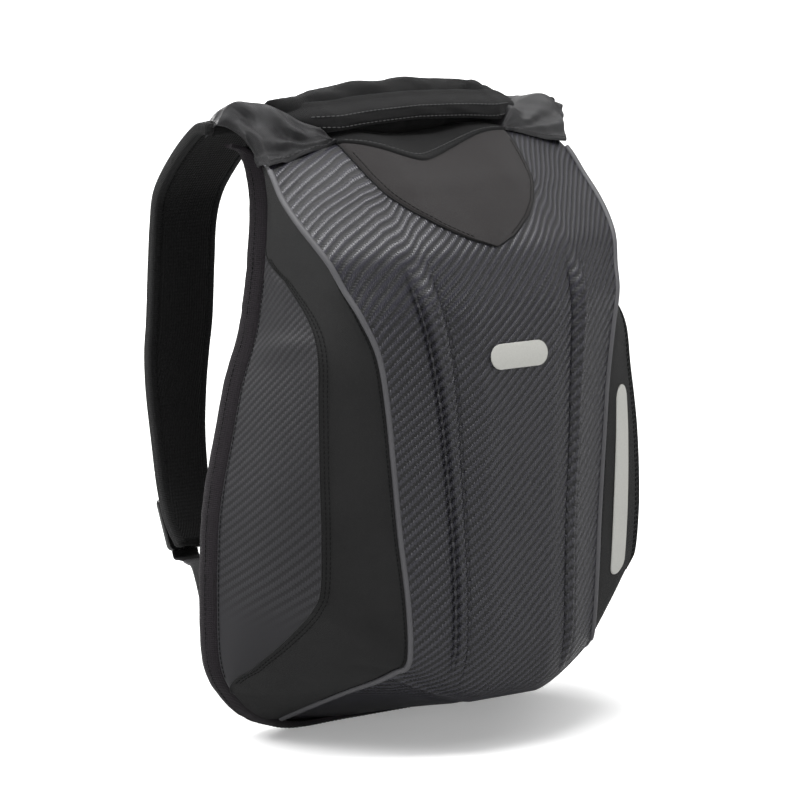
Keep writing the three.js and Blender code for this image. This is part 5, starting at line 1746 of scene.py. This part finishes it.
# Each lamp: its name, its place, its width and height in metres, and its power in watts
LAMPS = (
    ("top", (-0.2, -0.5, 2.2), 1.2, 0.7, 32),
    ("left", (-1.8, 0.7, 1.9), 0.9, 1.2, 46),
    ("front", (-2.7, -2.3, 0.6), 0.7, 1.0, 21),
    ("low", (0.5, -3.2, 0.5), 0.9, 0.6, 8),
    ("right", (3.0, -1.5, 0.5), 0.8, 1.2, 16),
    ("rear", (-1.5, 2.7, 1.3), 1.3, 1.1, 26),
    ("behind", (0.6, 3.2, 1.1), 1.3, 1.1, 48),
)


class BACKPACK_OT_stage(bpy.types.Operator):
    """Set the floor, the soft lights, the sky and the camera"""

    bl_idname = "backpack.stage"
    bl_label = "Stage"
    bl_options = {"REGISTER", "UNDO"}

    def execute(self, context):
        scene = context.scene
        self.floor(scene)
        self.sky(scene)
        self.lamp("ceiling", (3.0, 4.5, 5.0), 18.0, 18.0, 900, (3.0, 4.5, 0.0))
        for values in LAMPS:
            self.lamp(*values)
        self.camera(scene)
        scene.view_settings.view_transform = "Standard"
        scene.view_settings.look = "None"
        return {"FINISHED"}

    def floor(self, scene):
        """A wide sheet of paper that looks white to the camera and gives back less light."""
        under = 0.0005
        reach = 16.0
        up = CAD_BOX[0][2] - under
        mesh = bpy.data.meshes.new("floor")
        corners = ((-reach, -reach, up), (reach, -reach, up), (reach, reach, up), (-reach, reach, up))
        mesh.from_pydata(corners, [], [(0, 1, 2, 3)])
        material, g, surface = new_material("floor_paper", 0.9)
        wear = g.placed(wear_group(), Vector=g.body_map(), Mottle=0.01, Grain=0.01, Grain_size=0.004)
        seen = g.node("ShaderNodeLightPath").outputs["Is Camera Ray"]
        paper = g.times(wear["Tint"], g.spread(seen, 0.0, 1.0, 0.55, 1.0))
        x, y, _ = g.split(g.body_map())
        far = g.math("SQRT", g.plus(g.times(x, x), g.times(y, y)))
        glow = g.spread(far, 1.2, 6.0, 0.25, 0.95)
        g.fed(surface, Base_Color=g.tinted(scene.backpack_colours.floor, paper),
              Emission_Color=(1, 1, 1, 1), Emission_Strength=g.times(seen, glow))
        mesh.materials.append(material)
        linked("floor", mesh)

    def sky(self, scene):
        """A sky that is white to the camera and dim for everything else."""
        world = bpy.data.worlds.new("studio")
        world.use_nodes = True
        g = Graph(world.node_tree)
        seen = g.node("ShaderNodeLightPath").outputs["Is Camera Ray"]
        strength = g.fed(g.node("ShaderNodeMapRange"), Value=seen, To_Min=0.17, To_Max=1.0)
        g.fed(world.node_tree.nodes["Background"], Color=(1.0, 1.0, 1.0, 1), Strength=strength)
        scene.world = world

    def lamp(self, name, place_at, wide, tall, power, target=(0, -0.05, 0.0)):
        light = bpy.data.lights.new(name, "AREA")
        light.shape = "RECTANGLE"
        light.size = wide
        light.size_y = tall
        light.energy = power
        lamp = linked(name, light)
        lamp.location = place_at
        aim = Vector(target) - Vector(place_at)
        lamp.rotation_euler = aim.to_track_quat("-Z", "Y").to_euler()

    def camera(self, scene):
        """The camera, from the left front and a little above."""
        azimuth = math.radians(-37)
        elevation = math.radians(9.5)
        distance = 3.45
        sensor = 36
        focal_over_sensor = 1.27 * 3450 / 800
        back = Vector((math.sin(azimuth) * math.cos(elevation), -math.cos(azimuth) * math.cos(elevation),
                       math.sin(elevation)))
        target = Vector((-0.051, -0.093, 0.0226))
        lens = bpy.data.cameras.new("camera")
        lens.sensor_width = sensor
        lens.lens = focal_over_sensor * sensor
        lens.clip_end = 50
        camera = linked("camera", lens)
        camera.location = target + back * distance
        camera.rotation_mode = "QUATERNION"
        camera.rotation_quaternion = (-back).to_track_quat("-Z", "Y")
        scene.camera = camera


PIECES = (
    BACKPACK_OT_shell, BACKPACK_OT_front_patch, BACKPACK_OT_side_cloth, BACKPACK_OT_piping,
    BACKPACK_OT_binding, BACKPACK_OT_back_panel, BACKPACK_OT_top, BACKPACK_OT_straps,
    BACKPACK_OT_shoulder_caps, BACKPACK_OT_buckles, BACKPACK_OT_reflectors, BACKPACK_OT_stitching,
    BACKPACK_OT_stage,
)


class BACKPACK_PT_pieces(bpy.types.Panel):
    """Lists the backpack's sizes, colours and pieces"""

    bl_idname = "BACKPACK_PT_pieces"
    bl_label = "Backpack"
    bl_space_type = "VIEW_3D"
    bl_region_type = "UI"
    bl_category = "Backpack"

    def draw(self, context):
        layout = self.layout
        scene = context.scene
        for label, group in (("Sizes", scene.backpack_sizes), ("Colours", scene.backpack_colours)):
            box = layout.box()
            box.label(text=label)
            for key in group.__annotations__:
                box.prop(group, key)
        for piece in PIECES:
            layout.operator(piece.bl_idname)


CLASSES = (BackpackSizes, BackpackColours, *PIECES, BACKPACK_PT_pieces)


def register():
    for entry in CLASSES:
        bpy.utils.register_class(entry)
    bpy.types.Scene.backpack_sizes = bpy.props.PointerProperty(type=BackpackSizes)
    bpy.types.Scene.backpack_colours = bpy.props.PointerProperty(type=BackpackColours)


def unregister():
    del bpy.types.Scene.backpack_colours
    del bpy.types.Scene.backpack_sizes
    for entry in reversed(CLASSES):
        bpy.utils.unregister_class(entry)


def main():
    """Makes every piece in order."""
    register()
    for piece in PIECES:
        group, name = piece.bl_idname.split(".")
        getattr(getattr(bpy.ops, group), name)()


if __name__ == "__main__":
    main()
